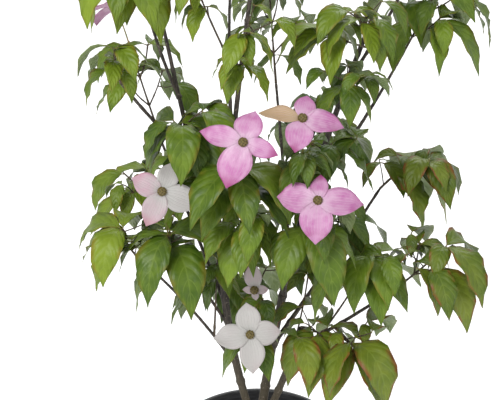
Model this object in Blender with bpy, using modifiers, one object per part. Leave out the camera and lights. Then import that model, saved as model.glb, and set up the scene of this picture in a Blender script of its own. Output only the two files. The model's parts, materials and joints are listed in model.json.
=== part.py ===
"""A young kousa dogwood with several stems, in flower, in a round nursery pot.

Metres, +Z up, with the origin in the middle of the pot's flat underside. A heading is in degrees round the
plant, from +X towards +Y, and a lean is in degrees from straight up.
"""

import math
import random
from collections import namedtuple

import bmesh
import bpy
from mathutils import Matrix, Vector
from mathutils.bvhtree import BVHTree

GAP = 0.0003  # between two pieces that meet
CLEARANCE = 0.0008  # round each leaf, twig and bract
OVERSHOOT = 0.004  # by which a cutter passes what it cuts
WELD = 0.00002
SHARP = 50  # degrees between two faces of a limb, past which their edge stays sharp

# Pot and soil
POT_HEIGHT = 0.190
POT_RIM_RADIUS = 0.105
POT_FOOT_RADIUS = 0.082
POT_WALL = 0.0018
POT_LIP = 0.0035
POT_LIP_HEIGHT = 0.013
POT_STEPS = 30
DRAIN_COUNT = 6
DRAIN_RADIUS = 0.006
DRAIN_RING = 0.060
DRAIN_SIDES = 8
SOIL_TOP = 0.168
SOIL_FALL = 0.003  # from the stems to the wall
SOIL_FLAT = 0.010  # level soil round the trunk's foot

# Trunk
FORK_HEIGHT = 0.200
FLARE_RADIUS = 0.0170
NECK_RADIUS = 0.0105
STUB_LENGTH = 0.046  # from the fork's middle to the foot of each stem
STUB_SINK = 0.012  # how far a stub runs down into the foot
STUB_SWELL = 1.5  # its swelling there
FOOT_SIDES = 16

# A blade's half width, its margins' height over its midrib and the midrib's depth, at shares of its length
Station = namedtuple("Station", "share half cup keel")
LEAF = (Station(0, 0.006, 0.004, 0.007), Station(0.40, 0.235, 0.030, 0.010), Station(1, 0, 0, 0))
BRACT = (Station(0, 0.040, 0.015, 0.030), Station(0.45, 0.360, 0.045, 0.022),
         Station(0.80, 0.250, 0.040, 0.020), Station(1, 0, 0, 0))
BLADE_STEPS = 20
BLADE_BEND = 2.0  # over 1, a blade bends most near its foot
BLADE_CLEAR_FROM = 0.20  # its own twig and neighbours are kept clear of it from here on

# Leaves
PAIR_JITTER = 16
UPRIGHT = 14  # a twig that leans less than this turns its first pair by the light
TOP_NODE = 0.97  # where on a twig its last pair stands
REACH = 1.55  # the radius of a mass's space round its twig's tip, in shares of a leaf's length
LEAF_SPLAY = 58  # between a leaf's foot and its twig
LEAF_RISE = (-10, 46)  # the slope at the foot
LEAF_FALL = (-88, -60)  # the slope at the tip
LEAF_ROLL = 22
LEAF_JITTER = 9  # of the heading, at the first try
LEAF_SIZES = (0.86, 1.08)
LEAF_TRIES = 8
LEAF_SHRINK = 0.94  # from one try to the next
LEAF_TO_LIGHT = 0.35  # how far a leaf turns to the outside of the crown
TOP_PAIR = 0.80  # the size of the pair above the last one

# Blooms
BRACT_COUNT = 4
BRACT_RISE = 14
BRACT_FALL = -10
BRACT_SINK = 0.4  # how far below the button's middle the bracts join, in shares of its radius
BUTTON_RADIUS = 0.0046
STALK_RADIUS = 0.0009
STALK_STEPS = 3

# Twigs and limbs
TWIG_FOOT_RADIUS = 0.0013
TWIG_TIP_RADIUS = 0.0008
TWIG_STEPS = 3
TWIG_SIDES = 3
SHOOT_SHARE = 0.42  # a side shoot's length, as a share of its twig's
SHOOT_RADIUS = 0.0008
SHOOT_SPLAY = 50
SHOOT_LIFT = 20
SHOOT_JITTER = 10
SHOOT_STEPS = 2
SHOOT_TRIES = 4
LIMB_SIDES = 6
LIMB_STEPS = 6
FORK_SHARE = 0.85  # a limb that starts past this share of its parent is cut round the leader too
SHORTEST = 0.02  # the shortest stretch between two rings, as a share of the limb

Limb = namedtuple("Limb", "parent at heading lean lean_end turn length foot tip")
Mass = namedtuple("Mass", "parent at heading lean lean_end turn length bare pairs shoots leaf seed bloom")
Bloom = namedtuple("Bloom", "stalk heading lean bract turn")
Skin = namedtuple("Skin", "points faces low high tree")

# Where each limb springs from, how it leans and turns, its length, and its radius at the foot and tip
LIMBS = {
    "left_stem": Limb(None, 0, 190, 17, 3, 20, 0.240, 0.0048, 0.0040),
    "middle_stem": Limb(None, 0, 40, 8, 22, -60, 0.655, 0.0056, 0.0014),
    "right_stem": Limb(None, 0, -15, 20, 18, -45, 0.180, 0.0048, 0.0032),
    "middle_leader": Limb("left_stem", 1, 300, 8, 11, 20, 0.415, 0.0035, 0.0014),
    "left_leader": Limb("left_stem", 0.92, 176, 12, 10, -10, 0.395, 0.0031, 0.0013),
    "left_bough": Limb("left_stem", 0.66, 200, 26, 34, 22, 0.125, 0.0017, 0.0014),
    "left_low_bough": Limb("left_stem", 0.42, 200, 27, 40, 0, 0.200, 0.0018, 0.0013),
    "left_high_bough": Limb("left_leader", 0.36, 224, 42, 34, -12, 0.134, 0.0021, 0.0014),
    "right_back_bough": Limb("middle_stem", 0.18, 36, 46, 36, -10, 0.215, 0.0029, 0.0015),
    "right_bough": Limb("right_stem", 0.80, -24, 48, 52, 26, 0.130, 0.0024, 0.0015),
    "right_high_bough": Limb("middle_stem", 0.46, 30, 44, 34, 0, 0.170, 0.0026, 0.0014),
    "top_right_bough": Limb("middle_stem", 0.67, -16, 30, 22, 0, 0.150, 0.0020, 0.0013),
    "top_left_bough": Limb("left_leader", 0.54, 190, 22, 10, -10, 0.115, 0.0018, 0.0013),
    "front_bough": Limb("middle_stem", 0.28, 276, 32, 20, 14, 0.180, 0.0020, 0.0014),
    "back_left_bough": Limb("left_stem", 0.78, 126, 42, 26, 10, 0.200, 0.0022, 0.0014),
    "back_right_bough": Limb("middle_stem", 0.33, 92, 44, 26, 10, 0.210, 0.0024, 0.0014),
    "back_high_bough": Limb("middle_leader", 0.37, 98, 38, 22, -14, 0.170, 0.0019, 0.0013),
}

# Each mass: where its twig springs from, how it runs, its bare share, pairs of leaves, and pairs of shoots
MASSES = {
    "low_center": Mass("middle_stem", 0.17, 255, 46, 52, 0, 0.098, 0.80, 1, 0, 0.058, 11,
                       Bloom(0.034, 276, 56, 0.038, 4)),
    "low_middle": Mass("middle_stem", 0.22, 245, 40, 28, 0, 0.062, 0.60, 1, 0, 0.040, 12,
                       Bloom(0.038, 255, 75, 0.030, 10)),
    "low_left": Mass("left_bough", 1, 246, 42, 10, 0, 0.036, 0.02, 2, 0, 0.092, 13,
                     Bloom(0.076, 280, 52, 0.038, -28)),
    "left_edge": Mass("left_low_bough", 1, 198, 34, 8, 0, 0.036, 0.05, 3, 0, 0.088, 14, None),
    "left_inner": Mass("left_low_bough", 0.28, 305, 6, 2, 0, 0.090, 0.60, 2, 0, 0.044, 15, None),
    "left_upper": Mass("left_leader", 0.46, 267, 74, 62, 0, 0.040, 0.40, 2, 0, 0.084, 16, None),
    "left_high": Mass("left_high_bough", 1, 250, 30, 0, 0, 0.040, 0.10, 3, 0, 0.080, 17, None),
    "top_left": Mass("top_left_bough", 1, 250, 24, 50, 0, 0.050, 0.05, 3, 0, 0.090, 18, None),
    "leader_left": Mass("middle_leader", 0.54, 196, 26, 20, 0, 0.095, 0.58, 2, 0, 0.062, 19, None),
    "leader_front": Mass("middle_leader", 0.67, 271, 80, 74, 0, 0.028, 0.60, 1, 0, 0.078, 20, None),
    "leader_low": Mass("middle_leader", 0.59, 274, 80, 74, 0, 0.024, 0.60, 1, 0, 0.074, 21, None),
    "front_left": Mass("middle_leader", 0.16, 286, 44, 26, 0, 0.086, 0.55, 3, 0, 0.088, 22,
                       Bloom(0.056, 264, 54, 0.046, -15)),
    "center": Mass("middle_leader", 0.03, 292, 42, 34, 0, 0.083, 0.60, 2, 0, 0.070, 23, None),
    "center_left": Mass("left_leader", 0.13, 263, 26, 18, 0, 0.105, 0.60, 2, 0, 0.088, 24, None),
    "front_top": Mass("front_bough", 1, 255, 16, 12, 0, 0.054, 0.20, 3, 0, 0.080, 25,
                      Bloom(0.048, 270, 38, 0.042, -12)),
    "front_middle": Mass("front_bough", 0.62, 286, 56, 34, 0, 0.058, 0.50, 2, 0, 0.086, 26,
                         Bloom(0.052, 266, 40, 0.044, -4)),
    "middle_right": Mass("middle_stem", 0.51, 284, 46, 36, 0, 0.065, 0.50, 2, 0, 0.084, 27, None),
    "right_inner": Mass("right_back_bough", 0.58, 267, 44, 32, 0, 0.094, 0.50, 2, 0, 0.078, 28, None),
    "right_middle": Mass("right_back_bough", 1, 14, 42, 60, -50, 0.066, 0.05, 3, 0, 0.078, 29, None),
    "right_side": Mass("right_bough", 0.30, 341, 29, 21, 0, 0.109, 0.70, 2, 0, 0.088, 30, None),
    "right_low": Mass("right_bough", 0.45, 292, 80, 96, 0, 0.042, 0.50, 2, 0, 0.086, 31, None),
    "right_front": Mass("right_stem", 1, 300, 60, 88, 0, 0.042, 0.40, 2, 0, 0.088, 32, None),
    "right_shoot": Mass("right_stem", 0.62, 351, 12, 4, 0, 0.120, 0.75, 2, 0, 0.056, 33, None),
    "right_tip": Mass("right_bough", 1, 0, 50, 40, 0, 0.080, 0.15, 3, 1, 0.080, 34, None),
    "right_top_left": Mass("top_right_bough", 0.30, 223, 68, 60, 0, 0.072, 0.60, 2, 0, 0.084, 35, None),
    "right_top": Mass("middle_stem", 0.76, 257, 68, 60, 0, 0.062, 0.50, 2, 0, 0.078, 36, None),
    "right_top_low": Mass("middle_stem", 0.65, 269, 62, 54, 0, 0.071, 0.50, 2, 0, 0.074, 37, None),
    "right_high": Mass("right_high_bough", 1, 30, 34, 30, 0, 0.095, 0.05, 3, 2, 0.080, 38,
                       Bloom(0.050, 10, 40, 0.040, 10)),
    "top_right": Mass("top_right_bough", 1, 344, 22, 20, 0, 0.100, 0.05, 3, 2, 0.078, 39,
                      Bloom(0.048, 330, 34, 0.040, 30)),
    "top_middle": Mass("middle_leader", 1, 320, 11, 10, 0, 0.100, 0.02, 3, 2, 0.078, 40,
                       Bloom(0.050, 250, 30, 0.040, 0)),
    "top_stem": Mass("middle_stem", 1, 340, 22, 16, 0, 0.100, 0.02, 3, 1, 0.078, 41, None),
    "top_leader": Mass("left_leader", 1, 166, 11, 10, 0, 0.100, 0.02, 3, 2, 0.078, 42,
                       Bloom(0.048, 200, 34, 0.038, 50)),
    "back_left": Mass("back_left_bough", 1, 136, 26, 24, 0, 0.100, 0.02, 3, 2, 0.084, 43,
                      Bloom(0.050, 130, 44, 0.042, 10)),
    "back_left_low": Mass("back_left_bough", 0.45, 160, 62, 50, 0, 0.095, 0.25, 3, 1, 0.084, 44, None),
    "back_right": Mass("back_right_bough", 1, 100, 26, 24, 0, 0.100, 0.02, 3, 2, 0.084, 45,
                       Bloom(0.050, 70, 46, 0.044, 30)),
    "back_right_low": Mass("back_right_bough", 0.40, 60, 60, 46, 0, 0.100, 0.25, 3, 2, 0.084, 46, None),
    "back_high": Mass("back_high_bough", 1, 84, 22, 20, 0, 0.100, 0.02, 3, 2, 0.080, 47,
                      Bloom(0.048, 100, 44, 0.040, 25)),
    "back_low": Mass("middle_stem", 0.15, 120, 50, 36, 0, 0.115, 0.35, 3, 1, 0.080, 48, None),
    "back_center": Mass("middle_leader", 0.09, 110, 46, 36, 0, 0.105, 0.30, 3, 1, 0.080, 49, None),
    "leader_back": Mass("middle_leader", 0.8, 60, 48, 36, 0, 0.090, 0.30, 3, 1, 0.076, 50, None),
}


def direction(heading, lean):
    """The unit vector with this heading and lean."""
    turn, tip = math.radians(heading), math.radians(lean)
    return Vector((math.sin(tip) * math.cos(turn), math.sin(tip) * math.sin(turn), math.cos(tip)))


def heading_of(vector):
    return math.degrees(math.atan2(vector.y, vector.x))


def lean_of(vector):
    return math.degrees(vector.normalized().angle(Vector((0, 0, 1))))


def arc_path(start, spec, steps):
    """Points along a limb or twig whose lean and heading change evenly from its foot to its tip."""
    points = [Vector(start)]
    for step in range(steps):
        share = (step + 0.5) / steps
        lean = spec.lean + (spec.lean_end - spec.lean) * share
        points.append(points[-1] + direction(spec.heading + spec.turn * share, lean) * (spec.length / steps))
    return points


def along(points, share):
    """The point at a share of a path of even steps, and the direction there."""
    place = min(max(share, 0), 1) * (len(points) - 1)
    step = min(int(place), len(points) - 2)
    stride = points[step + 1] - points[step]
    return points[step] + stride * (place - step), stride.normalized()


def radius_along(limb, share):
    return limb.foot + (limb.tip - limb.foot) * share


def tube_rings(points, radii, sides):
    """Rings of points round a path, one to each of its points."""
    rings = []
    last = len(points) - 1
    across = None
    for place, (point, radius) in enumerate(zip(points, radii)):
        run = (points[min(place + 1, last)] - points[max(place - 1, 0)]).normalized()
        if across is None:
            across = run.orthogonal().normalized()
        across = (across - run * across.dot(run)).normalized()
        upward = run.cross(across)
        turns = [2 * math.pi * side / sides for side in range(sides)]
        rings.append([point + (across * math.cos(turn) + upward * math.sin(turn)) * radius for turn in turns])
    return rings


def station_at(shape, share):
    """A blade's half width, cup and keel at any share of its length."""
    for inner, outer in zip(shape, shape[1:]):
        if share <= outer.share:
            part = (share - inner.share) / (outer.share - inner.share)
            return [near + (far - near) * part for near, far in zip(inner[1:], outer[1:])]
    return list(shape[-1][1:])


def blade_rings(root, out, up, rise, fall, roll, length, shape, swell=0.0, start=0.0):
    """Rings of three points along a curved blade: two on its margins and one under its midrib.

    To test the room a blade has, its rings are swollen, and can start further out than its root.
    """
    rings = []
    point = Vector(root)
    level = up.cross(out)
    shares = [start] + [station.share for station in shape if station.share > start]
    for step in range(BLADE_STEPS + 1):
        share = step / BLADE_STEPS
        slope = math.radians(rise + (fall - rise) * (1 - (1 - share) ** BLADE_BEND))
        run = out * math.cos(slope) + up * math.sin(slope)
        if any(abs(share - stop) < 0.5 / BLADE_STEPS for stop in shares):
            half, cup, keel = (size * length + swell for size in station_at(shape, share))
            across = Matrix.Rotation(math.radians(roll), 3, run) @ level
            upward = run.cross(across)
            rings.append([point + across * half + upward * cup, point - upward * keel,
                          point - across * half + upward * cup])
        point = point + run * (length / BLADE_STEPS)
    return rings


def skin(rings, pointed=False):
    """A closed skin over rings of as many points each, the last of which can be drawn to one point."""
    count = len(rings[0])
    last = len(rings) - 1
    points = [point for ring in rings for point in ring]
    faces = [tuple(reversed(range(count)))]
    for level in range(last):
        foot, head = level * count, (level + 1) * count
        for side in range(count):
            after = (side + 1) % count
            if pointed and level == last - 1:
                faces.append((foot + side, foot + after, head))
            else:
                faces.append((foot + side, foot + after, head + after, head + side))
    if pointed:
        points = points[:last * count + 1]
    else:
        faces.append(tuple(last * count + side for side in range(count)))
    low = Vector([min(point[axis] for point in points) for axis in range(3)])
    high = Vector([max(point[axis] for point in points) for axis in range(3)])
    return Skin(points, faces, low, high, BVHTree.FromPolygons(points, faces))


def touch(one, other):
    """Whether two skins meet."""
    apart = any(one.high[axis] < other.low[axis] or other.high[axis] < one.low[axis] for axis in range(3))
    return not apart and bool(one.tree.overlap(other.tree))


def clear(piece, others):
    return not any(touch(piece, other) for other in others)


class Growth:
    """One mass: the skins that are joined into it, and the stretches that its own leaves keep clear of."""

    def __init__(self):
        self.path = []
        self.button = None
        self.skins = []
        self.blades = []

    def add(self, piece, blade=None):
        self.skins.append(piece)
        self.blades.append(blade or piece)


class Place:
    """Where a mass's leaves go: what they keep clear of, the middle of their space and the way they face."""

    def __init__(self, growth, outside, center, leaf, rng):
        self.growth = growth
        self.outside = outside
        self.center = center
        self.light = heading_of(center - growth.path[0])
        self.leaf = leaf
        self.rng = rng


class Crown:
    """The limbs' paths, and the twigs, blooms and leaves that grow on from them, mass by mass."""

    def __init__(self):
        self.paths = {}
        self.limb_skins = []
        self.growths = {name: Growth() for name in MASSES}
        for name, limb in LIMBS.items():
            self.run_limb(name, limb)
        for name, mass in MASSES.items():
            self.grow_twig(self.growths[name], mass)
        for name, mass in MASSES.items():
            self.grow_leaves(self.growths[name], mass)

    def run_limb(self, name, limb):
        start = Vector((0, 0, FORK_HEIGHT))
        if limb.parent:
            start = along(self.paths[limb.parent], limb.at)[0]
        self.paths[name] = arc_path(start, limb, LIMB_STEPS)
        radii = [radius_along(limb, step / LIMB_STEPS) for step in range(LIMB_STEPS + 1)]
        self.limb_skins.append(skin(tube_rings(self.paths[name], radii, LIMB_SIDES)))

    def twig_start(self, mass):
        """The foot of a mass's twig, just clear of its limb's tip or side."""
        point, run = along(self.paths[mass.parent], mass.at)
        aim = direction(mass.heading, mass.lean)
        tilt = run.angle(aim)
        if mass.at == 1:
            return point + run * (GAP + TWIG_FOOT_RADIUS * math.sin(tilt))
        clearance = radius_along(LIMBS[mass.parent], mass.at) + GAP + TWIG_FOOT_RADIUS * math.cos(tilt)
        return point + aim * (clearance / math.sin(tilt))

    def grow_twig(self, growth, mass):
        """A mass's main twig, and the bloom on its tip."""
        growth.path = arc_path(self.twig_start(mass), mass, TWIG_STEPS)
        radii = [TWIG_FOOT_RADIUS + (TWIG_TIP_RADIUS - TWIG_FOOT_RADIUS) * step / TWIG_STEPS
                 for step in range(TWIG_STEPS + 1)]
        growth.add(skin(tube_rings(growth.path, radii, TWIG_SIDES)))
        if mass.bloom:
            self.grow_bloom(growth, mass.bloom)

    def grow_bloom(self, growth, bloom):
        """A stalk that bends to face the bloom's way, with bracts round its tip."""
        tip, run = along(growth.path, 1)
        face = direction(bloom.heading, bloom.lean)
        path = [tip - run * TWIG_TIP_RADIUS]
        for step in range(STALK_STEPS):
            aim = run.lerp(face, ((step + 0.5) / STALK_STEPS) ** 2).normalized()
            path.append(path[-1] + aim * (bloom.stalk / STALK_STEPS))
        growth.add(skin(tube_rings(path, [STALK_RADIUS] * len(path), TWIG_SIDES)))
        growth.button = path[-1]
        side = direction(bloom.heading + 90, 90)
        for count in range(BRACT_COUNT):
            out = Matrix.Rotation(math.radians(bloom.turn + 360 / BRACT_COUNT * count), 3, face) @ side
            bract = (growth.button - face * BUTTON_RADIUS * BRACT_SINK, out, face, BRACT_RISE, BRACT_FALL, 0,
                     bloom.bract, BRACT)
            growth.add(skin(blade_rings(*bract), pointed=True),
                       skin(blade_rings(*bract, start=BLADE_CLEAR_FROM), pointed=True))

    def grow_leaves(self, growth, mass):
        """Pairs of leaves, each square to the pair below it, on the twig and on its side shoots."""
        rng = random.Random(mass.seed)
        others = [piece for other in self.growths.values() if other is not growth for piece in other.skins]
        place = Place(growth, self.limb_skins + others, growth.path[-1], mass.leaf, rng)
        for pair in range(mass.pairs):
            foot, run = along(growth.path, mass.bare + (TOP_NODE - mass.bare) * (pair + 1) / mass.pairs)
            for side in (-1, 1):
                if pair >= mass.shoots or not self.grow_shoot(place, foot, run, pair, side, mass.length):
                    self.grow_leaf(place, foot, run, pair, side, 1)
        for side in (-1, 1):
            self.grow_leaf(place, foot, run, mass.pairs, side, TOP_PAIR)

    def pair_axis(self, place, run, pair):
        """The line across a twig on which a pair stands: level for one pair, and square to it for the next."""
        heading = heading_of(run) if lean_of(run) > UPRIGHT else place.light
        level = direction(heading + 90, 90)
        turn = math.radians(90 * pair + place.rng.uniform(-PAIR_JITTER, PAIR_JITTER))
        return level * math.cos(turn) + run.cross(level) * math.sin(turn)

    def grow_shoot(self, place, foot, run, pair, side, length):
        """A side shoot with two pairs of leaves on its tip, if one finds room."""
        axis = self.pair_axis(place, run, pair)
        splay = math.radians(SHOOT_SPLAY)
        start = run * math.cos(splay) + axis * side * math.sin(splay)
        for attempt in range(SHOOT_TRIES):
            heading = heading_of(start) + place.rng.uniform(-SHOOT_JITTER, SHOOT_JITTER) * (attempt + 1)
            lean = lean_of(start)
            spec = Limb(None, 0, heading, lean, lean - SHOOT_LIFT, 0, length * SHOOT_SHARE, 0, 0)
            path = arc_path(foot, spec, SHOOT_STEPS)
            radii = [SHOOT_RADIUS] * len(path)
            swollen = tube_rings(path, [radius + CLEARANCE for radius in radii], TWIG_SIDES)
            if clear(skin(swollen[1:]), place.outside + place.growth.blades):
                place.growth.add(skin(tube_rings(path, radii, TWIG_SIDES)))
                tip, tip_run = along(path, TOP_NODE)
                for other in (-1, 1):
                    self.grow_leaf(place, tip, tip_run, pair + 1, other, 1)
                for other in (-1, 1):
                    self.grow_leaf(place, tip, tip_run, pair, other, TOP_PAIR)
                return True
        return False

    def grow_leaf(self, place, foot, run, pair, side, size):
        """One leaf, turned and drooping by chance within its limits until it finds room, or else left out."""
        rng, growth = place.rng, place.growth
        splay = math.radians(LEAF_SPLAY)
        start = run * math.cos(splay) + self.pair_axis(place, run, pair) * side * math.sin(splay)
        heading = heading_of(start)
        heading += LEAF_TO_LIGHT * ((place.light - heading + 180) % 360 - 180)
        rise = min(max(90 - lean_of(start), LEAF_RISE[0]), LEAF_RISE[1])
        for attempt in range(LEAF_TRIES):
            jitter = LEAF_JITTER * (attempt + 1)
            out = direction(heading + rng.uniform(-jitter, jitter), 90)
            length = place.leaf * size * rng.uniform(*LEAF_SIZES) * LEAF_SHRINK ** attempt
            leaf = (foot, out, Vector((0, 0, 1)), rise, rng.uniform(*LEAF_FALL),
                    rng.uniform(-LEAF_ROLL, LEAF_ROLL), length, LEAF)
            blade = skin(blade_rings(*leaf, start=BLADE_CLEAR_FROM), pointed=True)
            if (blade.points[-1] - place.center).length > place.leaf * REACH:
                continue
            if not clear(skin(blade_rings(*leaf, swell=CLEARANCE)), place.outside):
                continue
            if clear(skin(blade_rings(*leaf, swell=CLEARANCE, start=BLADE_CLEAR_FROM)), growth.blades):
                growth.add(skin(blade_rings(*leaf), pointed=True), blade)
                return


def clear_scene():
    for thing in list(bpy.data.objects):
        bpy.data.objects.remove(thing, do_unlink=True)


def new_collection(name):
    collection = bpy.data.collections.new(name)
    bpy.context.scene.collection.children.link(collection)
    return collection


def new_material(name, color, roughness):
    material = bpy.data.materials.new(name)
    material.use_nodes = True
    shader = material.node_tree.nodes["Principled BSDF"]
    shader.inputs["Base Color"].default_value = (*color, 1)
    shader.inputs["Roughness"].default_value = roughness
    shader.inputs["Metallic"].default_value = 0
    return material


def new_object(name, mesh, collection, material=None):
    thing = bpy.data.objects.new(name, mesh)
    collection.objects.link(thing)
    if material:
        mesh.materials.append(material)
    return thing


def baked(thing):
    """A mesh of an object as its modifiers or its bevel make it."""
    bpy.context.view_layer.update()
    return bpy.data.meshes.new_from_object(thing.evaluated_get(bpy.context.evaluated_depsgraph_get()))


def weld(mesh):
    shape = bmesh.new()
    shape.from_mesh(mesh)
    bmesh.ops.remove_doubles(shape, verts=shape.verts, dist=WELD)
    bmesh.ops.recalc_face_normals(shape, faces=shape.faces)
    shape.to_mesh(mesh)
    shape.free()


def skin_mesh(name, piece):
    """A mesh of a closed skin, with its faces pointing out."""
    mesh = bpy.data.meshes.new(name)
    mesh.from_pydata(piece.points, [], piece.faces)
    weld(mesh)
    return mesh


def turned(name, profile, collection, steps):
    """A turned solid from a profile of radii and heights that starts and ends on the axis."""
    mesh = bpy.data.meshes.new(name)
    mesh.from_pydata([(radius, 0, height) for radius, height in profile], [],
                     [(place, place + 1) for place in range(len(profile) - 1)])
    thing = new_object(name, mesh, collection)
    screw = thing.modifiers.new("Screw", "SCREW")
    screw.steps = screw.render_steps = steps
    screw.use_merge_vertices = True
    screw.merge_threshold = WELD
    screw.use_smooth_shade = True
    return thing


def limb_mesh(name, points, radii):
    """A tapering limb, as the mesh of a bevelled curve with filled ends."""
    curve = bpy.data.curves.new(name, "CURVE")
    curve.dimensions = "3D"
    curve.bevel_depth = 1
    curve.bevel_resolution = (LIMB_SIDES - 4) // 2  # a bevel has four sides, and two more for each step of it
    curve.use_fill_caps = True
    spline = curve.splines.new("POLY")
    spline.points.add(len(points) - 1)
    for knot, point, radius in zip(spline.points, points, radii):
        knot.co = (*point, 1)
        knot.radius = radius
    thing = bpy.data.objects.new(name, curve)
    bpy.context.scene.collection.objects.link(thing)
    mesh = baked(thing)
    bpy.data.objects.remove(thing, do_unlink=True)
    weld(mesh)
    mesh.shade_smooth()
    mesh.set_sharp_from_angle(angle=math.radians(SHARP))
    return mesh


def cut(thing, cutter):
    boolean = thing.modifiers.new("Cut " + cutter.name, "BOOLEAN")
    boolean.operation = "DIFFERENCE"
    boolean.solver = "EXACT"
    boolean.object = cutter


def joined(name, meshes, collection, material):
    """One object from overlapping meshes, with any scrap that stays loose dropped and sealed hollows filled."""
    group = new_collection(name + " pieces")
    whole = new_object(name, meshes[0], collection)
    for count, mesh in enumerate(meshes[1:]):
        new_object(f"{name} piece {count}", mesh, group)
    union = whole.modifiers.new("Join", "BOOLEAN")
    union.operation = "UNION"
    union.solver = "EXACT"
    union.operand_type = "COLLECTION"
    union.collection = group
    mesh = baked(whole)
    whole.modifiers.clear()
    whole.data = mesh
    mesh.materials.clear()
    mesh.materials.append(material)
    for piece in list(group.objects):
        bpy.data.objects.remove(piece, do_unlink=True)
    bpy.data.collections.remove(group)
    keep_largest(mesh)
    return whole


def keep_largest(mesh):
    """Keeps the outer skin of the largest body in a mesh."""
    shape = bmesh.new()
    shape.from_mesh(mesh)
    bodies = []
    left = set(shape.verts)
    while left:
        body = {left.pop()}
        edge = list(body)
        while edge:
            vert = edge.pop()
            for link in vert.link_edges:
                far = link.other_vert(vert)
                if far in left:
                    left.remove(far)
                    body.add(far)
                    edge.append(far)
        bodies.append(body)
    bodies.sort(key=len)
    dropped = [vert for body in bodies[:-1] for vert in body]
    bmesh.ops.delete(shape, geom=dropped, context="VERTS")
    shape.to_mesh(mesh)
    shape.free()


def pot_profile():
    """The pot's section from its floor's middle, up inside and down its outer side to its underside's middle."""
    slope = (POT_RIM_RADIUS - POT_LIP - POT_FOOT_RADIUS) / POT_HEIGHT
    lip_foot = POT_HEIGHT - POT_LIP_HEIGHT
    return [(0, POT_WALL), (POT_FOOT_RADIUS + slope * POT_WALL - POT_WALL, POT_WALL),
            (POT_RIM_RADIUS - POT_LIP - POT_WALL, POT_HEIGHT), (POT_RIM_RADIUS, POT_HEIGHT),
            (POT_RIM_RADIUS, lip_foot), (POT_FOOT_RADIUS + slope * lip_foot, lip_foot),
            (POT_FOOT_RADIUS, 0), (0, 0)]


def build_pot(collection, cutters, material):
    pot = turned("pot", pot_profile(), collection, POT_STEPS)
    pot.data.materials.append(material)
    for count in range(DRAIN_COUNT):
        turn = 2 * math.pi * (count + 0.5) / DRAIN_COUNT
        bpy.ops.mesh.primitive_cylinder_add(vertices=DRAIN_SIDES, radius=DRAIN_RADIUS, depth=POT_WALL + 2 * OVERSHOOT)
        drain = bpy.context.object
        drain.name = f"drain_{count}"
        drain.location = (DRAIN_RING * math.cos(turn), DRAIN_RING * math.sin(turn), POT_WALL / 2)
        move_to(drain, cutters)
        hide_helper(drain)
        cut(pot, drain)
    return pot


def build_soil(collection, material):
    """The soil fills the pot from just above its floor to its own top, just clear of the wall."""
    slope = (POT_RIM_RADIUS - POT_LIP - POT_FOOT_RADIUS) / POT_HEIGHT
    inner = POT_FOOT_RADIUS - POT_WALL - GAP / math.cos(math.pi / POT_STEPS)
    floor, edge = POT_WALL + GAP, SOIL_TOP - SOIL_FALL
    profile = [(0, floor), (inner + slope * floor, floor), (inner + slope * edge, edge),
               (FLARE_RADIUS + SOIL_FLAT, SOIL_TOP), (0, SOIL_TOP)]
    soil = turned("soil", profile, collection, POT_STEPS)
    soil.data.materials.append(material)
    return soil


def build_trunk(crown, collection, material):
    """A flared foot that stands on the soil, and three stubs that part at the fork."""
    foot = SOIL_TOP + GAP
    mesh = bpy.data.meshes.new("trunk foot")
    shape = bmesh.new()
    bmesh.ops.create_cone(shape, cap_ends=True, segments=FOOT_SIDES, radius1=FLARE_RADIUS, radius2=NECK_RADIUS,
                          depth=FORK_HEIGHT - foot, matrix=Matrix.Translation((0, 0, (foot + FORK_HEIGHT) / 2)))
    shape.to_mesh(mesh)
    shape.free()
    meshes = [mesh]
    for name, limb in LIMBS.items():
        if limb.parent is None:
            points, radii = stretch(crown.paths[name], limb, 0, STUB_LENGTH / limb.length)
            radii[0] *= STUB_SWELL
            points[0] = points[0] - Vector((0, 0, STUB_SINK))
            meshes.append(limb_mesh(name + " stub", points, radii))
    trunk = joined("trunk", meshes, collection, material)
    trunk.data.shade_smooth()
    return trunk


def stretch(points, limb, first, last):
    """The points and radii of a limb from one share of it to another."""
    shares = [first] + [step / LIMB_STEPS for step in range(LIMB_STEPS + 1)
                        if first + SHORTEST < step / LIMB_STEPS < last - SHORTEST] + [last]
    return [along(points, share)[0] for share in shares], [radius_along(limb, share) for share in shares]


def move_to(thing, collection):
    for holder in list(thing.users_collection):
        holder.objects.unlink(thing)
    collection.objects.link(thing)


def hide_helper(thing):
    thing.hide_render = True
    thing.display_type = "WIRE"


def build_limbs(crown, collection, cutters, material):
    """Each limb is a tapering tube; one that springs from a limb's side is cut to fit round it."""
    carriers = {}
    flat = math.cos(math.pi / LIMB_SIDES)
    for name, limb in LIMBS.items():
        path = crown.paths[name]
        first = 0
        if limb.parent is None:
            first = (STUB_LENGTH + GAP) / limb.length
        elif limb.at == 1:
            tilt = along(crown.paths[limb.parent], 1)[1].angle(direction(limb.heading, limb.lean))
            first = (GAP + limb.foot * math.sin(tilt)) / limb.length
        points, radii = stretch(path, limb, first, 1)
        thing = new_object(name, limb_mesh(name, points, radii), collection, material)
        for carrier in side_carriers(name, limb):
            if carrier not in carriers:
                points, radii = stretch(crown.paths[carrier], LIMBS[carrier], 0, 1)
                mesh = limb_mesh(carrier + " room", points, [radius + GAP / flat for radius in radii])
                carriers[carrier] = new_object(carrier + "_room", mesh, cutters)
                hide_helper(carriers[carrier])
            cut(thing, carriers[carrier])


def side_carriers(name, limb):
    """The limbs that a limb is cut round: its parent, and the leader beside it where it starts at a fork."""
    if limb.parent is None or limb.at == 1:
        return []
    beside = [other for other, spec in LIMBS.items() if spec.parent == limb.parent and spec.at == 1
              and limb.at > FORK_SHARE]
    return [limb.parent] + beside


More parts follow.
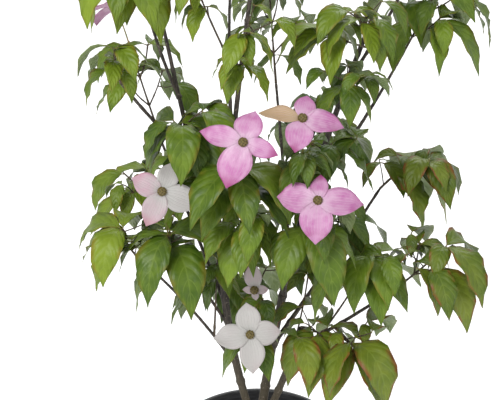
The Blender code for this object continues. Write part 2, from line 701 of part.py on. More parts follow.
def build_masses(crown, collection, material):
    for name, growth in crown.growths.items():
        meshes = [skin_mesh(f"{name} {count}", piece) for count, piece in enumerate(growth.skins)]
        if growth.button:
            shape = bmesh.new()
            bmesh.ops.create_icosphere(shape, subdivisions=1, radius=BUTTON_RADIUS,
                                       matrix=Matrix.Translation(growth.button))
            mesh = bpy.data.meshes.new(name + " button")
            shape.to_mesh(mesh)
            shape.free()
            meshes.append(mesh)
        joined(name, meshes, collection, material)


def main():
    clear_scene()
    plant = new_collection("Kousa dogwood")
    cutters = new_collection("Cutters")
    bark = new_material("bark", (0.06, 0.05, 0.045), 0.8)
    plastic = new_material("black plastic", (0.02, 0.02, 0.022), 0.45)
    earth = new_material("soil", (0.05, 0.035, 0.025), 0.95)
    leaves = new_material("leaves", (0.12, 0.25, 0.04), 0.6)
    crown = Crown()
    build_pot(plant, cutters, plastic)
    build_soil(plant, earth)
    build_trunk(crown, plant, bark)
    build_limbs(crown, plant, cutters, bark)
    build_masses(crown, plant, leaves)


if __name__ == "__main__":
    main()
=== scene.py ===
# A young kousa dogwood in flower, in a round nursery pot. What shows is grown by the same rule as its solids.

import json
import math
import random
from collections import namedtuple

import bmesh
import bpy
import numpy as np
from mathutils import Euler, Matrix, Vector, noise
from mathutils.bvhtree import BVHTree

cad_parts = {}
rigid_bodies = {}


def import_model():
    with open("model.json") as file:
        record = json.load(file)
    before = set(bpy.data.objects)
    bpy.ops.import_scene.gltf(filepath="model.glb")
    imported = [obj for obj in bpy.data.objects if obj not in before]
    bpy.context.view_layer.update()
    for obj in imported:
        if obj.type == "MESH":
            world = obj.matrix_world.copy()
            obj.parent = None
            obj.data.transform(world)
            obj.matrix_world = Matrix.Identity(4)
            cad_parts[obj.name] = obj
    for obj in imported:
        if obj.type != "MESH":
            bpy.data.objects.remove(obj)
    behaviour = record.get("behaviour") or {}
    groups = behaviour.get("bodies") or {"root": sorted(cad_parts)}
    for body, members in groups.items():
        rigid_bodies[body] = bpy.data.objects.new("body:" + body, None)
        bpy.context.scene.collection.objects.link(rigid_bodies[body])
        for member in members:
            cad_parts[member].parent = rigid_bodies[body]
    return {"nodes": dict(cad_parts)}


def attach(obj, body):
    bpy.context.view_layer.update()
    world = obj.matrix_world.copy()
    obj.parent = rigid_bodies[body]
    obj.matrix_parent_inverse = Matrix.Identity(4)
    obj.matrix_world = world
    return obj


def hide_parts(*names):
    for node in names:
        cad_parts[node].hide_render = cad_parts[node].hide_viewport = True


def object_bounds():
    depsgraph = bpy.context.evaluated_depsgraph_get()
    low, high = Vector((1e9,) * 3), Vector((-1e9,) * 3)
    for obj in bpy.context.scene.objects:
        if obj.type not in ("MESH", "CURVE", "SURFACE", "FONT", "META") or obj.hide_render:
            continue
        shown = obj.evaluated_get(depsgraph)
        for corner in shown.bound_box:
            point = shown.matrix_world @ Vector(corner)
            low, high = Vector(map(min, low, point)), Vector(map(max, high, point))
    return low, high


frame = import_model()
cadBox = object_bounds()
print("frame loaded,", len(frame["nodes"]), "nodes")

view = {"from": (-0.0095, -1.11376, 1.07449), "at": (-0.0095, 0, 0.507), "lens": 85.68, "sensor": 36}
lamps = {  # place, side in metres, power in watts
    "key": ((-1.2, -1.7, 2.4), 1.3, 54),
    "fill": ((1.7, -1.2, 1.5), 1.4, 10),
    "back": ((0.5, 1.9, 2.0), 1.4, 22),
}
studio = {"floor": 30, "glow": 0.32, "sky": 0.60, "grain": 3, "dim": 244, "bright": 250}
mergeDistance = 0.00001


def linked(name, data):
    thing = bpy.data.objects.new(name, data)
    bpy.context.scene.collection.objects.link(thing)
    return thing


def pointAt(thing, place, target):
    thing.location = place
    thing.rotation_euler = (Vector(target) - Vector(place)).to_track_quat("-Z", "Y").to_euler()


def meshOf(name, shape):
    mesh = bpy.data.meshes.new(name)
    shape.to_mesh(mesh)
    shape.free()
    return mesh


def finished(thing):
    # a mesh of an object with its bevel or modifiers applied
    bpy.context.view_layer.update()
    return bpy.data.meshes.new_from_object(thing.evaluated_get(bpy.context.evaluated_depsgraph_get()))


def pointsAndFaces(shape):
    # the parts of a shape that is repeated
    shape.verts.index_update()
    points = np.array([vert.co[:] for vert in shape.verts])
    faces = [[vert.index for vert in face.verts] for face in shape.faces]
    shape.free()
    return points, faces


def ball(subdivisions):
    shape = bmesh.new()
    bmesh.ops.create_icosphere(shape, subdivisions=subdivisions, radius=1)
    return pointsAndFaces(shape)


def seal(shape):
    # closes seams and poles, and turns the faces outwards
    bmesh.ops.remove_doubles(shape, verts=shape.verts, dist=mergeDistance)
    bmesh.ops.recalc_face_normals(shape, faces=shape.faces)


def smooth(mesh, sharp=None):
    # shaded smooth, but not over edges sharper than this many degrees
    mesh.shade_smooth()
    if sharp:
        mesh.set_sharp_from_angle(angle=math.radians(sharp))


def makeCamera():
    data = bpy.data.cameras.new("camera")
    data.lens = view["lens"]
    data.sensor_width = view["sensor"]
    data.sensor_fit = "HORIZONTAL"
    camera = linked("camera", data)
    pointAt(camera, view["from"], view["at"])
    bpy.context.scene.camera = camera
    print("camera set")


def makeStudio():
    scene = bpy.context.scene
    scene.view_settings.view_transform = "Standard"
    world = bpy.data.worlds.new("studio")
    world.use_nodes = True
    sky = world.node_tree.nodes["Background"].inputs
    sky["Color"].default_value = (1, 1, 1, 1)
    sky["Strength"].default_value = studio["sky"]
    scene.world = world
    for name, (place, side, power) in lamps.items():
        data = bpy.data.lights.new(name, "AREA")
        data.size = side
        data.energy = power
        pointAt(linked(name, data), place, view["at"])
    shape = bmesh.new()
    bmesh.ops.create_grid(shape, x_segments=1, y_segments=1, size=studio["floor"])
    mesh = meshOf("floor", shape)
    material, shader, start = newMaterial("pale floor", 0.9)
    dim, bright = tone(*[studio["dim"]] * 3), tone(*[studio["bright"]] * 3)
    feed(shader, colour=start.grain(studio["grain"], 1.0).blend(dim, bright))
    shader.inputs["Emission Color"].default_value = (1, 1, 1, 1)
    shader.inputs["Emission Strength"].default_value = studio["glow"]
    mesh.materials.append(material)
    floor = linked("floor", mesh)
    print("studio lit")


class Wire:
    # wraps a socket, so that shader maths reads as Python
    def __init__(self, tree, socket=None):
        self.tree = tree
        self.socket = socket

    def node(self, kind, settings=None, inputs=None, out=0):
        made = self.tree.nodes.new("ShaderNode" + kind)
        for key, value in (settings or {}).items():
            if key == "stops":
                band = made.color_ramp.elements
                band[0].position, band[0].color = value[0]
                band[-1].position, band[-1].color = value[-1]
                for position, colour in value[1:-1]:
                    band.new(position).color = colour
            else:
                setattr(made, key, value)
        for key, value in (inputs or {}).items():
            if isinstance(value, Wire):
                self.tree.links.new(value.socket, made.inputs[key])
            else:
                made.inputs[key].default_value = value
        return Wire(self.tree, made.outputs[out])

    def output(self, name):
        return Wire(self.tree, self.socket.node.outputs[name])

    def calc(self, operation, *others):
        return self.node("Math", {"operation": operation}, dict(enumerate((self, *others))))

    def __add__(self, other):
        return self.calc("ADD", other)

    __radd__ = __add__

    def __mul__(self, other):
        return self.calc("MULTIPLY", other)

    __rmul__ = __mul__

    def __sub__(self, other):
        return self.calc("SUBTRACT", other)

    def __rsub__(self, other):
        return self * -1 + other

    def __pow__(self, other):
        return self.calc("POWER", other)

    def fade(self, low, high, first=0.0, last=1.0):
        return self.node("MapRange", {"interpolation_type": "SMOOTHSTEP"},
                         {0: self, 1: low, 2: high, 3: first, 4: last})

    def blend(self, first, second):
        return self.node("Mix", {"data_type": "RGBA"}, {0: self, 6: first, 7: second}, 2)

    def grain(self, scale, detail=2.0, stretch=(1, 1, 1)):
        place = self.node("Mapping", None, {"Vector": self.node("TexCoord", None, None, "Object"),
                                            "Scale": stretch})
        return self.node("TexNoise", None, {"Vector": place, "Scale": scale, "Detail": detail})

    def tint(self):
        return self.node("Attribute", {"attribute_name": "tint"}, None, "Fac")

    def bladePlace(self):
        # how far out from the midrib, and how far along the blade
        place = self.node("SeparateXYZ", None, {0: self.node("TexCoord", None, None, "UV")})
        return (place * 2 - 1).calc("ABSOLUTE"), place.output("Y")


def newMaterial(name, roughness=None):
    # with no roughness given, a wire feeds it
    material = bpy.data.materials.new(name)
    material.use_nodes = True
    shader = material.node_tree.nodes["Principled BSDF"]
    if roughness:
        shader.inputs["Roughness"].default_value = roughness
    return material, shader, Wire(material.node_tree)


def feed(shader, **wires):
    names = {"colour": "Base Color", "roughness": "Roughness", "normal": "Normal"}
    for key, wire in wires.items():
        wire.tree.links.new(wire.socket, shader.inputs[names[key]])


def bumped(height, strength, distance):
    return height.node("Bump", None, {"Strength": strength, "Distance": distance, "Height": height})


def tone(red, green, blue):
    # a screen colour as the shader's own, by the usual curve
    shares = [value / 255 for value in (red, green, blue)]
    curved = [share / 12.92 if share <= 0.04045 else ((share + 0.055) / 1.055) ** 2.4 for share in shares]
    return (*curved, 1)


# A blade's half width, its margins' height over its midrib and the midrib's depth, at shares of its length
Station = namedtuple("Station", "share half cup keel")
leafShape = (Station(0, 0.006, 0.004, 0.007), Station(0.40, 0.235, 0.030, 0.010), Station(1, 0, 0, 0))
bractShape = (Station(0, 0.040, 0.015, 0.030), Station(0.45, 0.360, 0.045, 0.022),
              Station(0.80, 0.250, 0.040, 0.020), Station(1, 0, 0, 0))

# The growth rule, in metres and degrees, which the solids follow too
rule = {
    "gap": 0.0003,  # between two pieces that meet
    "clearance": 0.0008,  # round each leaf, twig and bract
    "forkHeight": 0.200,
    "bladeSteps": 20,
    "bladeBend": 2.0,  # over 1, a blade bends most near its foot
    "bladeClearFrom": 0.20,  # its own twig and neighbours are kept clear of it from here on
    "pairJitter": 16,
    "upright": 14,  # a twig that leans less than this turns its first pair by the light
    "topNode": 0.97,  # where on a twig its last pair stands
    "reach": 1.55,  # the radius of a mass's space round its twig's tip, in shares of a leaf's length
    "leafSplay": 58,  # between a leaf's foot and its twig
    "leafRise": (-10, 46),  # the slope at the foot
    "leafFall": (-88, -60),  # the slope at the tip
    "leafRoll": 22,
    "leafJitter": 9,  # of the heading, at the first try
    "leafSizes": (0.86, 1.08),
    "leafTries": 8,
    "leafShrink": 0.94,  # from one try to the next
    "leafToLight": 0.35,  # how far a leaf turns to the outside of the crown
    "topPair": 0.80,  # the size of the pair above the last one
    "bractCount": 4,
    "bractRise": 14,
    "bractFall": -10,
    "bractSink": 0.4,  # how far below the button's middle the bracts join, in shares of its radius
    "buttonRadius": 0.0046,
    "stalkRadius": 0.0009,
    "stalkSteps": 3,
    "twigFootRadius": 0.0013,
    "twigTipRadius": 0.0008,
    "twigSteps": 3,
    "twigSides": 3,
    "shootShare": 0.42,  # a side shoot's length, as a share of its twig's
    "shootRadius": 0.0008,
    "shootSplay": 50,
    "shootLift": 20,
    "shootJitter": 10,
    "shootSteps": 2,
    "shootTries": 4,
    "limbSides": 6,
    "limbSteps": 6,
}

Limb = namedtuple("Limb", "parent at heading lean leanEnd turn length foot tip")
Mass = namedtuple("Mass", "parent at heading lean leanEnd turn length bare pairs shoots leaf seed bloom")
Bloom = namedtuple("Bloom", "stalk heading lean bract turn")
Skin = namedtuple("Skin", "points faces low high tree")

# Where each limb springs from, how it leans and turns, its length, and its radius at the foot and tip
limbs = {
    "left_stem": Limb(None, 0, 190, 17, 3, 20, 0.240, 0.0048, 0.0040),
    "middle_stem": Limb(None, 0, 40, 8, 22, -60, 0.655, 0.0056, 0.0014),
    "right_stem": Limb(None, 0, -15, 20, 18, -45, 0.180, 0.0048, 0.0032),
    "middle_leader": Limb("left_stem", 1, 300, 8, 11, 20, 0.415, 0.0035, 0.0014),
    "left_leader": Limb("left_stem", 0.92, 176, 12, 10, -10, 0.395, 0.0031, 0.0013),
    "left_bough": Limb("left_stem", 0.66, 200, 26, 34, 22, 0.125, 0.0017, 0.0014),
    "left_low_bough": Limb("left_stem", 0.42, 200, 27, 40, 0, 0.200, 0.0018, 0.0013),
    "left_high_bough": Limb("left_leader", 0.36, 224, 42, 34, -12, 0.134, 0.0021, 0.0014),
    "right_back_bough": Limb("middle_stem", 0.18, 36, 46, 36, -10, 0.215, 0.0029, 0.0015),
    "right_bough": Limb("right_stem", 0.80, -24, 48, 52, 26, 0.130, 0.0024, 0.0015),
    "right_high_bough": Limb("middle_stem", 0.46, 30, 44, 34, 0, 0.170, 0.0026, 0.0014),
    "top_right_bough": Limb("middle_stem", 0.67, -16, 30, 22, 0, 0.150, 0.0020, 0.0013),
    "top_left_bough": Limb("left_leader", 0.54, 190, 22, 10, -10, 0.115, 0.0018, 0.0013),
    "front_bough": Limb("middle_stem", 0.28, 276, 32, 20, 14, 0.180, 0.0020, 0.0014),
    "back_left_bough": Limb("left_stem", 0.78, 126, 42, 26, 10, 0.200, 0.0022, 0.0014),
    "back_right_bough": Limb("middle_stem", 0.33, 92, 44, 26, 10, 0.210, 0.0024, 0.0014),
    "back_high_bough": Limb("middle_leader", 0.37, 98, 38, 22, -14, 0.170, 0.0019, 0.0013),
}

# Each mass: where its twig springs from, how it leans and turns, its length and bare share, its pairs of
# leaves and of shoots, the length of its leaves, its seed and its bloom
masses = {
    "low_center": Mass("middle_stem", 0.17, 255, 46, 52, 0, 0.098, 0.80, 1, 0, 0.058, 11,
                       Bloom(0.034, 276, 56, 0.038, 4)),
    "low_middle": Mass("middle_stem", 0.22, 245, 40, 28, 0, 0.062, 0.60, 1, 0, 0.040, 12,
                       Bloom(0.038, 255, 75, 0.030, 10)),
    "low_left": Mass("left_bough", 1, 246, 42, 10, 0, 0.036, 0.02, 2, 0, 0.092, 13,
                     Bloom(0.076, 280, 52, 0.038, -28)),
    "left_edge": Mass("left_low_bough", 1, 198, 34, 8, 0, 0.036, 0.05, 3, 0, 0.088, 14, None),
    "left_inner": Mass("left_low_bough", 0.28, 305, 6, 2, 0, 0.090, 0.60, 2, 0, 0.044, 15, None),
    "left_upper": Mass("left_leader", 0.46, 267, 74, 62, 0, 0.040, 0.40, 2, 0, 0.084, 16, None),
    "left_high": Mass("left_high_bough", 1, 250, 30, 0, 0, 0.040, 0.10, 3, 0, 0.080, 17, None),
    "top_left": Mass("top_left_bough", 1, 250, 24, 50, 0, 0.050, 0.05, 3, 0, 0.090, 18, None),
    "leader_left": Mass("middle_leader", 0.54, 196, 26, 20, 0, 0.095, 0.58, 2, 0, 0.062, 19, None),
    "leader_front": Mass("middle_leader", 0.67, 271, 80, 74, 0, 0.028, 0.60, 1, 0, 0.078, 20, None),
    "leader_low": Mass("middle_leader", 0.59, 274, 80, 74, 0, 0.024, 0.60, 1, 0, 0.074, 21, None),
    "front_left": Mass("middle_leader", 0.16, 286, 44, 26, 0, 0.086, 0.55, 3, 0, 0.088, 22,
                       Bloom(0.056, 264, 54, 0.046, -15)),
    "center": Mass("middle_leader", 0.03, 292, 42, 34, 0, 0.083, 0.60, 2, 0, 0.070, 23, None),
    "center_left": Mass("left_leader", 0.13, 263, 26, 18, 0, 0.105, 0.60, 2, 0, 0.088, 24, None),
    "front_top": Mass("front_bough", 1, 255, 16, 12, 0, 0.054, 0.20, 3, 0, 0.080, 25,
                      Bloom(0.048, 270, 38, 0.042, -12)),
    "front_middle": Mass("front_bough", 0.62, 286, 56, 34, 0, 0.058, 0.50, 2, 0, 0.086, 26,
                         Bloom(0.052, 266, 40, 0.044, -4)),
    "middle_right": Mass("middle_stem", 0.51, 284, 46, 36, 0, 0.065, 0.50, 2, 0, 0.084, 27, None),
    "right_inner": Mass("right_back_bough", 0.58, 267, 44, 32, 0, 0.094, 0.50, 2, 0, 0.078, 28, None),
    "right_middle": Mass("right_back_bough", 1, 14, 42, 60, -50, 0.066, 0.05, 3, 0, 0.078, 29, None),
    "right_side": Mass("right_bough", 0.30, 341, 29, 21, 0, 0.109, 0.70, 2, 0, 0.088, 30, None),
    "right_low": Mass("right_bough", 0.45, 292, 80, 96, 0, 0.042, 0.50, 2, 0, 0.086, 31, None),
    "right_front": Mass("right_stem", 1, 300, 60, 88, 0, 0.042, 0.40, 2, 0, 0.088, 32, None),
    "right_shoot": Mass("right_stem", 0.62, 351, 12, 4, 0, 0.120, 0.75, 2, 0, 0.056, 33, None),
    "right_tip": Mass("right_bough", 1, 0, 50, 40, 0, 0.080, 0.15, 3, 1, 0.080, 34, None),
    "right_top_left": Mass("top_right_bough", 0.30, 223, 68, 60, 0, 0.072, 0.60, 2, 0, 0.084, 35, None),
    "right_top": Mass("middle_stem", 0.76, 257, 68, 60, 0, 0.062, 0.50, 2, 0, 0.078, 36, None),
    "right_top_low": Mass("middle_stem", 0.65, 269, 62, 54, 0, 0.071, 0.50, 2, 0, 0.074, 37, None),
    "right_high": Mass("right_high_bough", 1, 30, 34, 30, 0, 0.095, 0.05, 3, 2, 0.080, 38,
                       Bloom(0.050, 10, 40, 0.040, 10)),
    "top_right": Mass("top_right_bough", 1, 344, 22, 20, 0, 0.100, 0.05, 3, 2, 0.078, 39,
                      Bloom(0.048, 330, 34, 0.040, 30)),
    "top_middle": Mass("middle_leader", 1, 320, 11, 10, 0, 0.100, 0.02, 3, 2, 0.078, 40,
                       Bloom(0.050, 250, 30, 0.040, 0)),
    "top_stem": Mass("middle_stem", 1, 340, 22, 16, 0, 0.100, 0.02, 3, 1, 0.078, 41, None),
    "top_leader": Mass("left_leader", 1, 166, 11, 10, 0, 0.100, 0.02, 3, 2, 0.078, 42,
                       Bloom(0.048, 200, 34, 0.038, 50)),
    "back_left": Mass("back_left_bough", 1, 136, 26, 24, 0, 0.100, 0.02, 3, 2, 0.084, 43,
                      Bloom(0.050, 130, 44, 0.042, 10)),
    "back_left_low": Mass("back_left_bough", 0.45, 160, 62, 50, 0, 0.095, 0.25, 3, 1, 0.084, 44, None),
    "back_right": Mass("back_right_bough", 1, 100, 26, 24, 0, 0.100, 0.02, 3, 2, 0.084, 45,
                       Bloom(0.050, 70, 46, 0.044, 30)),
    "back_right_low": Mass("back_right_bough", 0.40, 60, 60, 46, 0, 0.100, 0.25, 3, 2, 0.084, 46, None),
    "back_high": Mass("back_high_bough", 1, 84, 22, 20, 0, 0.100, 0.02, 3, 2, 0.080, 47,
                      Bloom(0.048, 100, 44, 0.040, 25)),
    "back_low": Mass("middle_stem", 0.15, 120, 50, 36, 0, 0.115, 0.35, 3, 1, 0.080, 48, None),
    "back_center": Mass("middle_leader", 0.09, 110, 46, 36, 0, 0.105, 0.30, 3, 1, 0.080, 49, None),
    "leader_back": Mass("middle_leader", 0.8, 60, 48, 36, 0, 0.090, 0.30, 3, 1, 0.076, 50, None),
}


def direction(heading, lean):
    # the unit vector with this heading and lean
    turn, tip = math.radians(heading), math.radians(lean)
    return Vector((math.sin(tip) * math.cos(turn), math.sin(tip) * math.sin(turn), math.cos(tip)))


def headingOf(vector):
    return math.degrees(math.atan2(vector.y, vector.x))


def leanOf(vector):
    return math.degrees(vector.normalized().angle(Vector((0, 0, 1))))


def arcPath(start, spec, steps):
    # points along a limb or twig whose lean and heading change evenly from its foot to its tip
    points = [Vector(start)]
    for step in range(steps):
        share = (step + 0.5) / steps
        lean = spec.lean + (spec.leanEnd - spec.lean) * share
        points.append(points[-1] + direction(spec.heading + spec.turn * share, lean) * (spec.length / steps))
    return points


def along(points, share):
    # the point at a share of a path of even steps, and the direction there
    place = min(max(share, 0), 1) * (len(points) - 1)
    step = min(int(place), len(points) - 2)
    stride = points[step + 1] - points[step]
    return points[step] + stride * (place - step), stride.normalized()


def radiusAlong(limb, share):
    return limb.foot + (limb.tip - limb.foot) * share


def tubeRings(points, radii, sides):
    # rings of points round a path, one to each of its points
    rings = []
    last = len(points) - 1
    across = None
    for place, (point, radius) in enumerate(zip(points, radii)):
        run = (points[min(place + 1, last)] - points[max(place - 1, 0)]).normalized()
        if across is None:
            across = run.orthogonal().normalized()
        across = (across - run * across.dot(run)).normalized()
        upward = run.cross(across)
        turns = [2 * math.pi * side / sides for side in range(sides)]
        rings.append([point + (across * math.cos(turn) + upward * math.sin(turn)) * radius for turn in turns])
    return rings


def stationAt(shape, share):
    # a blade's half width, cup and keel at any share of its length
    for inner, outer in zip(shape, shape[1:]):
        if share <= outer.share:
            part = (share - inner.share) / (outer.share - inner.share)
            return [near + (far - near) * part for near, far in zip(inner[1:], outer[1:])]
    return list(shape[-1][1:])


def bladeCurve(root, out, up, rise, fall, roll, length):
    # the middle line of a leaf or bract, with the two directions across it at each step
    level = up.cross(out)
    point = Vector(root)
    steps = []
    for step in range(rule["bladeSteps"] + 1):
        share = step / rule["bladeSteps"]
        slope = math.radians(rise + (fall - rise) * (1 - (1 - share) ** rule["bladeBend"]))
        run = out * math.cos(slope) + up * math.sin(slope)
        across = Matrix.Rotation(math.radians(roll), 3, run) @ level
        steps.append((point.copy(), across, run.cross(across)))
        point = point + run * (length / rule["bladeSteps"])
    return steps


def bladeRings(root, out, up, rise, fall, roll, length, shape, swell=0.0, start=0.0):
    # rings of three points along a curved blade: two on its margins and one under its midrib
    # to test the room a blade has, they are swollen, and can start further out than its root
    shares = [start] + [station.share for station in shape if station.share > start]
    rings = []
    for step, (point, across, upward) in enumerate(bladeCurve(root, out, up, rise, fall, roll, length)):
        share = step / rule["bladeSteps"]
        if any(abs(share - stop) < 0.5 / rule["bladeSteps"] for stop in shares):
            half, cup, keel = (size * length + swell for size in stationAt(shape, share))
            rings.append([point + across * half + upward * cup, point - upward * keel,
                          point - across * half + upward * cup])
    return rings


def skin(rings, pointed=False):
    # a closed skin over rings of as many points each, the last of which can be drawn to one point
    count = len(rings[0])
    last = len(rings) - 1
    points = [point for ring in rings for point in ring]
    faces = [tuple(reversed(range(count)))]
    for level in range(last):
        foot, head = level * count, (level + 1) * count
        for side in range(count):
            after = (side + 1) % count
            if pointed and level == last - 1:
                faces.append((foot + side, foot + after, head))
            else:
                faces.append((foot + side, foot + after, head + after, head + side))
    if pointed:
        points = points[:last * count + 1]
    else:
        faces.append(tuple(last * count + side for side in range(count)))
    low = Vector([min(point[axis] for point in points) for axis in range(3)])
    high = Vector([max(point[axis] for point in points) for axis in range(3)])
    return Skin(points, faces, low, high, BVHTree.FromPolygons(points, faces))


def tubeSkin(points, radii, sides, first=0):
    # a limb's or twig's skin, from its first ring or a later one on
    return skin(tubeRings(points, radii, sides)[first:])


def bladeSkin(blade, swell=0.0, start=0.0):
    # a leaf's or bract's skin, drawn to a point unless it is swollen
    return skin(bladeRings(*blade, swell, start), pointed=not swell)


def touch(one, other):
    # whether two skins meet
    apart = any(one.high[axis] < other.low[axis] or other.high[axis] < one.low[axis] for axis in range(3))
    return not apart and bool(one.tree.overlap(other.tree))


def clear(piece, others):
    return not any(touch(piece, other) for other in others)


class Growth:
    # one mass: the skins that are joined into it, and the stretches that its own leaves keep clear of
    def __init__(self):
        self.path = []
        self.button = None
        self.skins = []
        self.blades = []
        self.twigs = []
        self.leaves = []
        self.bracts = []
        self.stalk = None

    def add(self, piece, blade=None):
        self.skins.append(piece)
        self.blades.append(blade or piece)


class Place:
    # where a mass's leaves go: what they keep clear of, the middle of their space and the way they face
    def __init__(self, growth, outside, center, leaf, rng):
        self.growth = growth
        self.outside = outside
        self.center = center
        self.light = headingOf(center - growth.path[0])
        self.leaf = leaf
        self.rng = rng


class Crown:
    # the limbs' paths, and the twigs, blooms and leaves that grow on from them, mass by mass
    def __init__(self):
        self.paths = {}
        self.limbSkins = []
        self.growths = {name: Growth() for name in masses}
        for name, limb in limbs.items():
            self.runLimb(name, limb)
        for name, mass in masses.items():
            self.growTwig(self.growths[name], mass)
        for name, mass in masses.items():
            self.growLeaves(self.growths[name], mass)

    def runLimb(self, name, limb):
        start = Vector((0, 0, rule["forkHeight"]))
        if limb.parent:
            start = along(self.paths[limb.parent], limb.at)[0]
        self.paths[name] = arcPath(start, limb, rule["limbSteps"])
        radii = [radiusAlong(limb, step / rule["limbSteps"]) for step in range(rule["limbSteps"] + 1)]
        self.limbSkins.append(tubeSkin(self.paths[name], radii, rule["limbSides"]))

    def twigStart(self, mass):
        # the foot of a mass's twig, just clear of its limb's tip or side
        point, run = along(self.paths[mass.parent], mass.at)
        aim = direction(mass.heading, mass.lean)
        tilt = run.angle(aim)
        foot = rule["twigFootRadius"]
        if mass.at == 1:
            return point + run * (rule["gap"] + foot * math.sin(tilt))
        clearance = radiusAlong(limbs[mass.parent], mass.at) + rule["gap"] + foot * math.cos(tilt)
        return point + aim * (clearance / math.sin(tilt))

    def growTwig(self, growth, mass):
        # a mass's main twig, and the bloom on its tip
        foot, tip, count = rule["twigFootRadius"], rule["twigTipRadius"], rule["twigSteps"]
        growth.path = arcPath(self.twigStart(mass), mass, count)
        radii = [foot + (tip - foot) * step / count for step in range(count + 1)]
        growth.add(tubeSkin(growth.path, radii, rule["twigSides"]))
        growth.twigs.append((growth.path, radii))
        if mass.bloom:
            self.growBloom(growth, mass.bloom)

    def growBloom(self, growth, bloom):
        # a stalk that bends to face the bloom's way, with bracts round its tip
        tip, run = along(growth.path, 1)
        face = direction(bloom.heading, bloom.lean)
        path = [tip - run * rule["twigTipRadius"]]
        for step in range(rule["stalkSteps"]):
            aim = run.lerp(face, ((step + 0.5) / rule["stalkSteps"]) ** 2).normalized()
            path.append(path[-1] + aim * (bloom.stalk / rule["stalkSteps"]))
        growth.add(tubeSkin(path, [rule["stalkRadius"]] * len(path), rule["twigSides"]))
        growth.stalk = path
        growth.button = path[-1]
        side = direction(bloom.heading + 90, 90)
        for count in range(rule["bractCount"]):
            out = Matrix.Rotation(math.radians(bloom.turn + 360 / rule["bractCount"] * count), 3, face) @ side
            foot = growth.button - face * rule["buttonRadius"] * rule["bractSink"]
            bract = (foot, out, face, rule["bractRise"], rule["bractFall"], 0, bloom.bract, bractShape)
            growth.bracts.append(bract)
            growth.add(bladeSkin(bract), bladeSkin(bract, start=rule["bladeClearFrom"]))

    def growLeaves(self, growth, mass):
        # pairs of leaves, each square to the pair below it, on the twig and on its side shoots
        rng = random.Random(mass.seed)
        others = [piece for other in self.growths.values() if other is not growth for piece in other.skins]
        place = Place(growth, self.limbSkins + others, growth.path[-1], mass.leaf, rng)
        for pair in range(mass.pairs):
            share = mass.bare + (rule["topNode"] - mass.bare) * (pair + 1) / mass.pairs
            foot, run = along(growth.path, share)
            for side in (-1, 1):
                if pair >= mass.shoots or not self.growShoot(place, foot, run, pair, side, mass.length):
                    self.growLeaf(place, foot, run, pair, side, 1)
        for side in (-1, 1):
            self.growLeaf(place, foot, run, mass.pairs, side, rule["topPair"])

    def pairAxis(self, place, run, pair):
        # the line across a twig on which a pair stands: level for one pair, and square to it for the next
        heading = headingOf(run) if leanOf(run) > rule["upright"] else place.light
        level = direction(heading + 90, 90)
        turn = math.radians(90 * pair + place.rng.uniform(-rule["pairJitter"], rule["pairJitter"]))
        return level * math.cos(turn) + run.cross(level) * math.sin(turn)

    def growShoot(self, place, foot, run, pair, side, length):
        # a side shoot with two pairs of leaves on its tip, if one finds room
        axis = self.pairAxis(place, run, pair)
        splay = math.radians(rule["shootSplay"])
        start = run * math.cos(splay) + axis * side * math.sin(splay)
        for attempt in range(rule["shootTries"]):
            turn = place.rng.uniform(-rule["shootJitter"], rule["shootJitter"]) * (attempt + 1)
            lean = leanOf(start)
            spec = Limb(None, 0, headingOf(start) + turn, lean, lean - rule["shootLift"], 0,
                        length * rule["shootShare"], 0, 0)
            path = arcPath(foot, spec, rule["shootSteps"])
            radii = [rule["shootRadius"]] * len(path)
            swollen = [radius + rule["clearance"] for radius in radii]
            room = tubeSkin(path, swollen, rule["twigSides"], 1)
            if clear(room, place.outside + place.growth.blades):
                place.growth.add(tubeSkin(path, radii, rule["twigSides"]))
                place.growth.twigs.append((path, radii))
                tip, tipRun = along(path, rule["topNode"])
                for other in (-1, 1):
                    self.growLeaf(place, tip, tipRun, pair + 1, other, 1)
                for other in (-1, 1):
                    self.growLeaf(place, tip, tipRun, pair, other, rule["topPair"])
                return True
        return False

    def growLeaf(self, place, foot, run, pair, side, size):
        # one leaf, turned and drooping by chance within its limits until it finds room, or else left out
        rng, growth = place.rng, place.growth
        splay = math.radians(rule["leafSplay"])
        start = run * math.cos(splay) + self.pairAxis(place, run, pair) * side * math.sin(splay)
        heading = headingOf(start)
        heading += rule["leafToLight"] * ((place.light - heading + 180) % 360 - 180)
        rise = min(max(90 - leanOf(start), rule["leafRise"][0]), rule["leafRise"][1])
        for attempt in range(rule["leafTries"]):
            jitter = rule["leafJitter"] * (attempt + 1)
            out = direction(heading + rng.uniform(-jitter, jitter), 90)
            length = place.leaf * size * rng.uniform(*rule["leafSizes"]) * rule["leafShrink"] ** attempt
            leaf = (foot, out, Vector((0, 0, 1)), rise, rng.uniform(*rule["leafFall"]),
                    rng.uniform(-rule["leafRoll"], rule["leafRoll"]), length, leafShape)
            blade = bladeSkin(leaf, start=rule["bladeClearFrom"])
            if (blade.points[-1] - place.center).length > place.leaf * rule["reach"]:
                continue
            if not clear(bladeSkin(leaf, rule["clearance"]), place.outside):
                continue
            if clear(bladeSkin(leaf, rule["clearance"], rule["bladeClearFrom"]), growth.blades):
                growth.add(bladeSkin(leaf), blade)
                growth.leaves.append(leaf)
                return


# Finer twigs in each mass, and the leaves on them, within the mass's own reach
finer = {
    "seed": 71, "many": 9, "few": 3, "length": (0.008, 0.032), "radius": 0.0006, "clearance": 0.0002,
    "sizes": (0.55, 0.92), "rise": (-10, 40), "turn": 40, "tries": 10, "shrink": 0.94, "sides": 3, "steps": 2,
    "low": 0.3, "lean": (20, 95), "leanEnd": 60,
    "bare": ("low_center", "low_middle", "leader_front", "leader_low", "leader_left", "left_inner",
             "left_high", "right_shoot", "right_top_left", "top_left", "back_right", "back_left"),
}


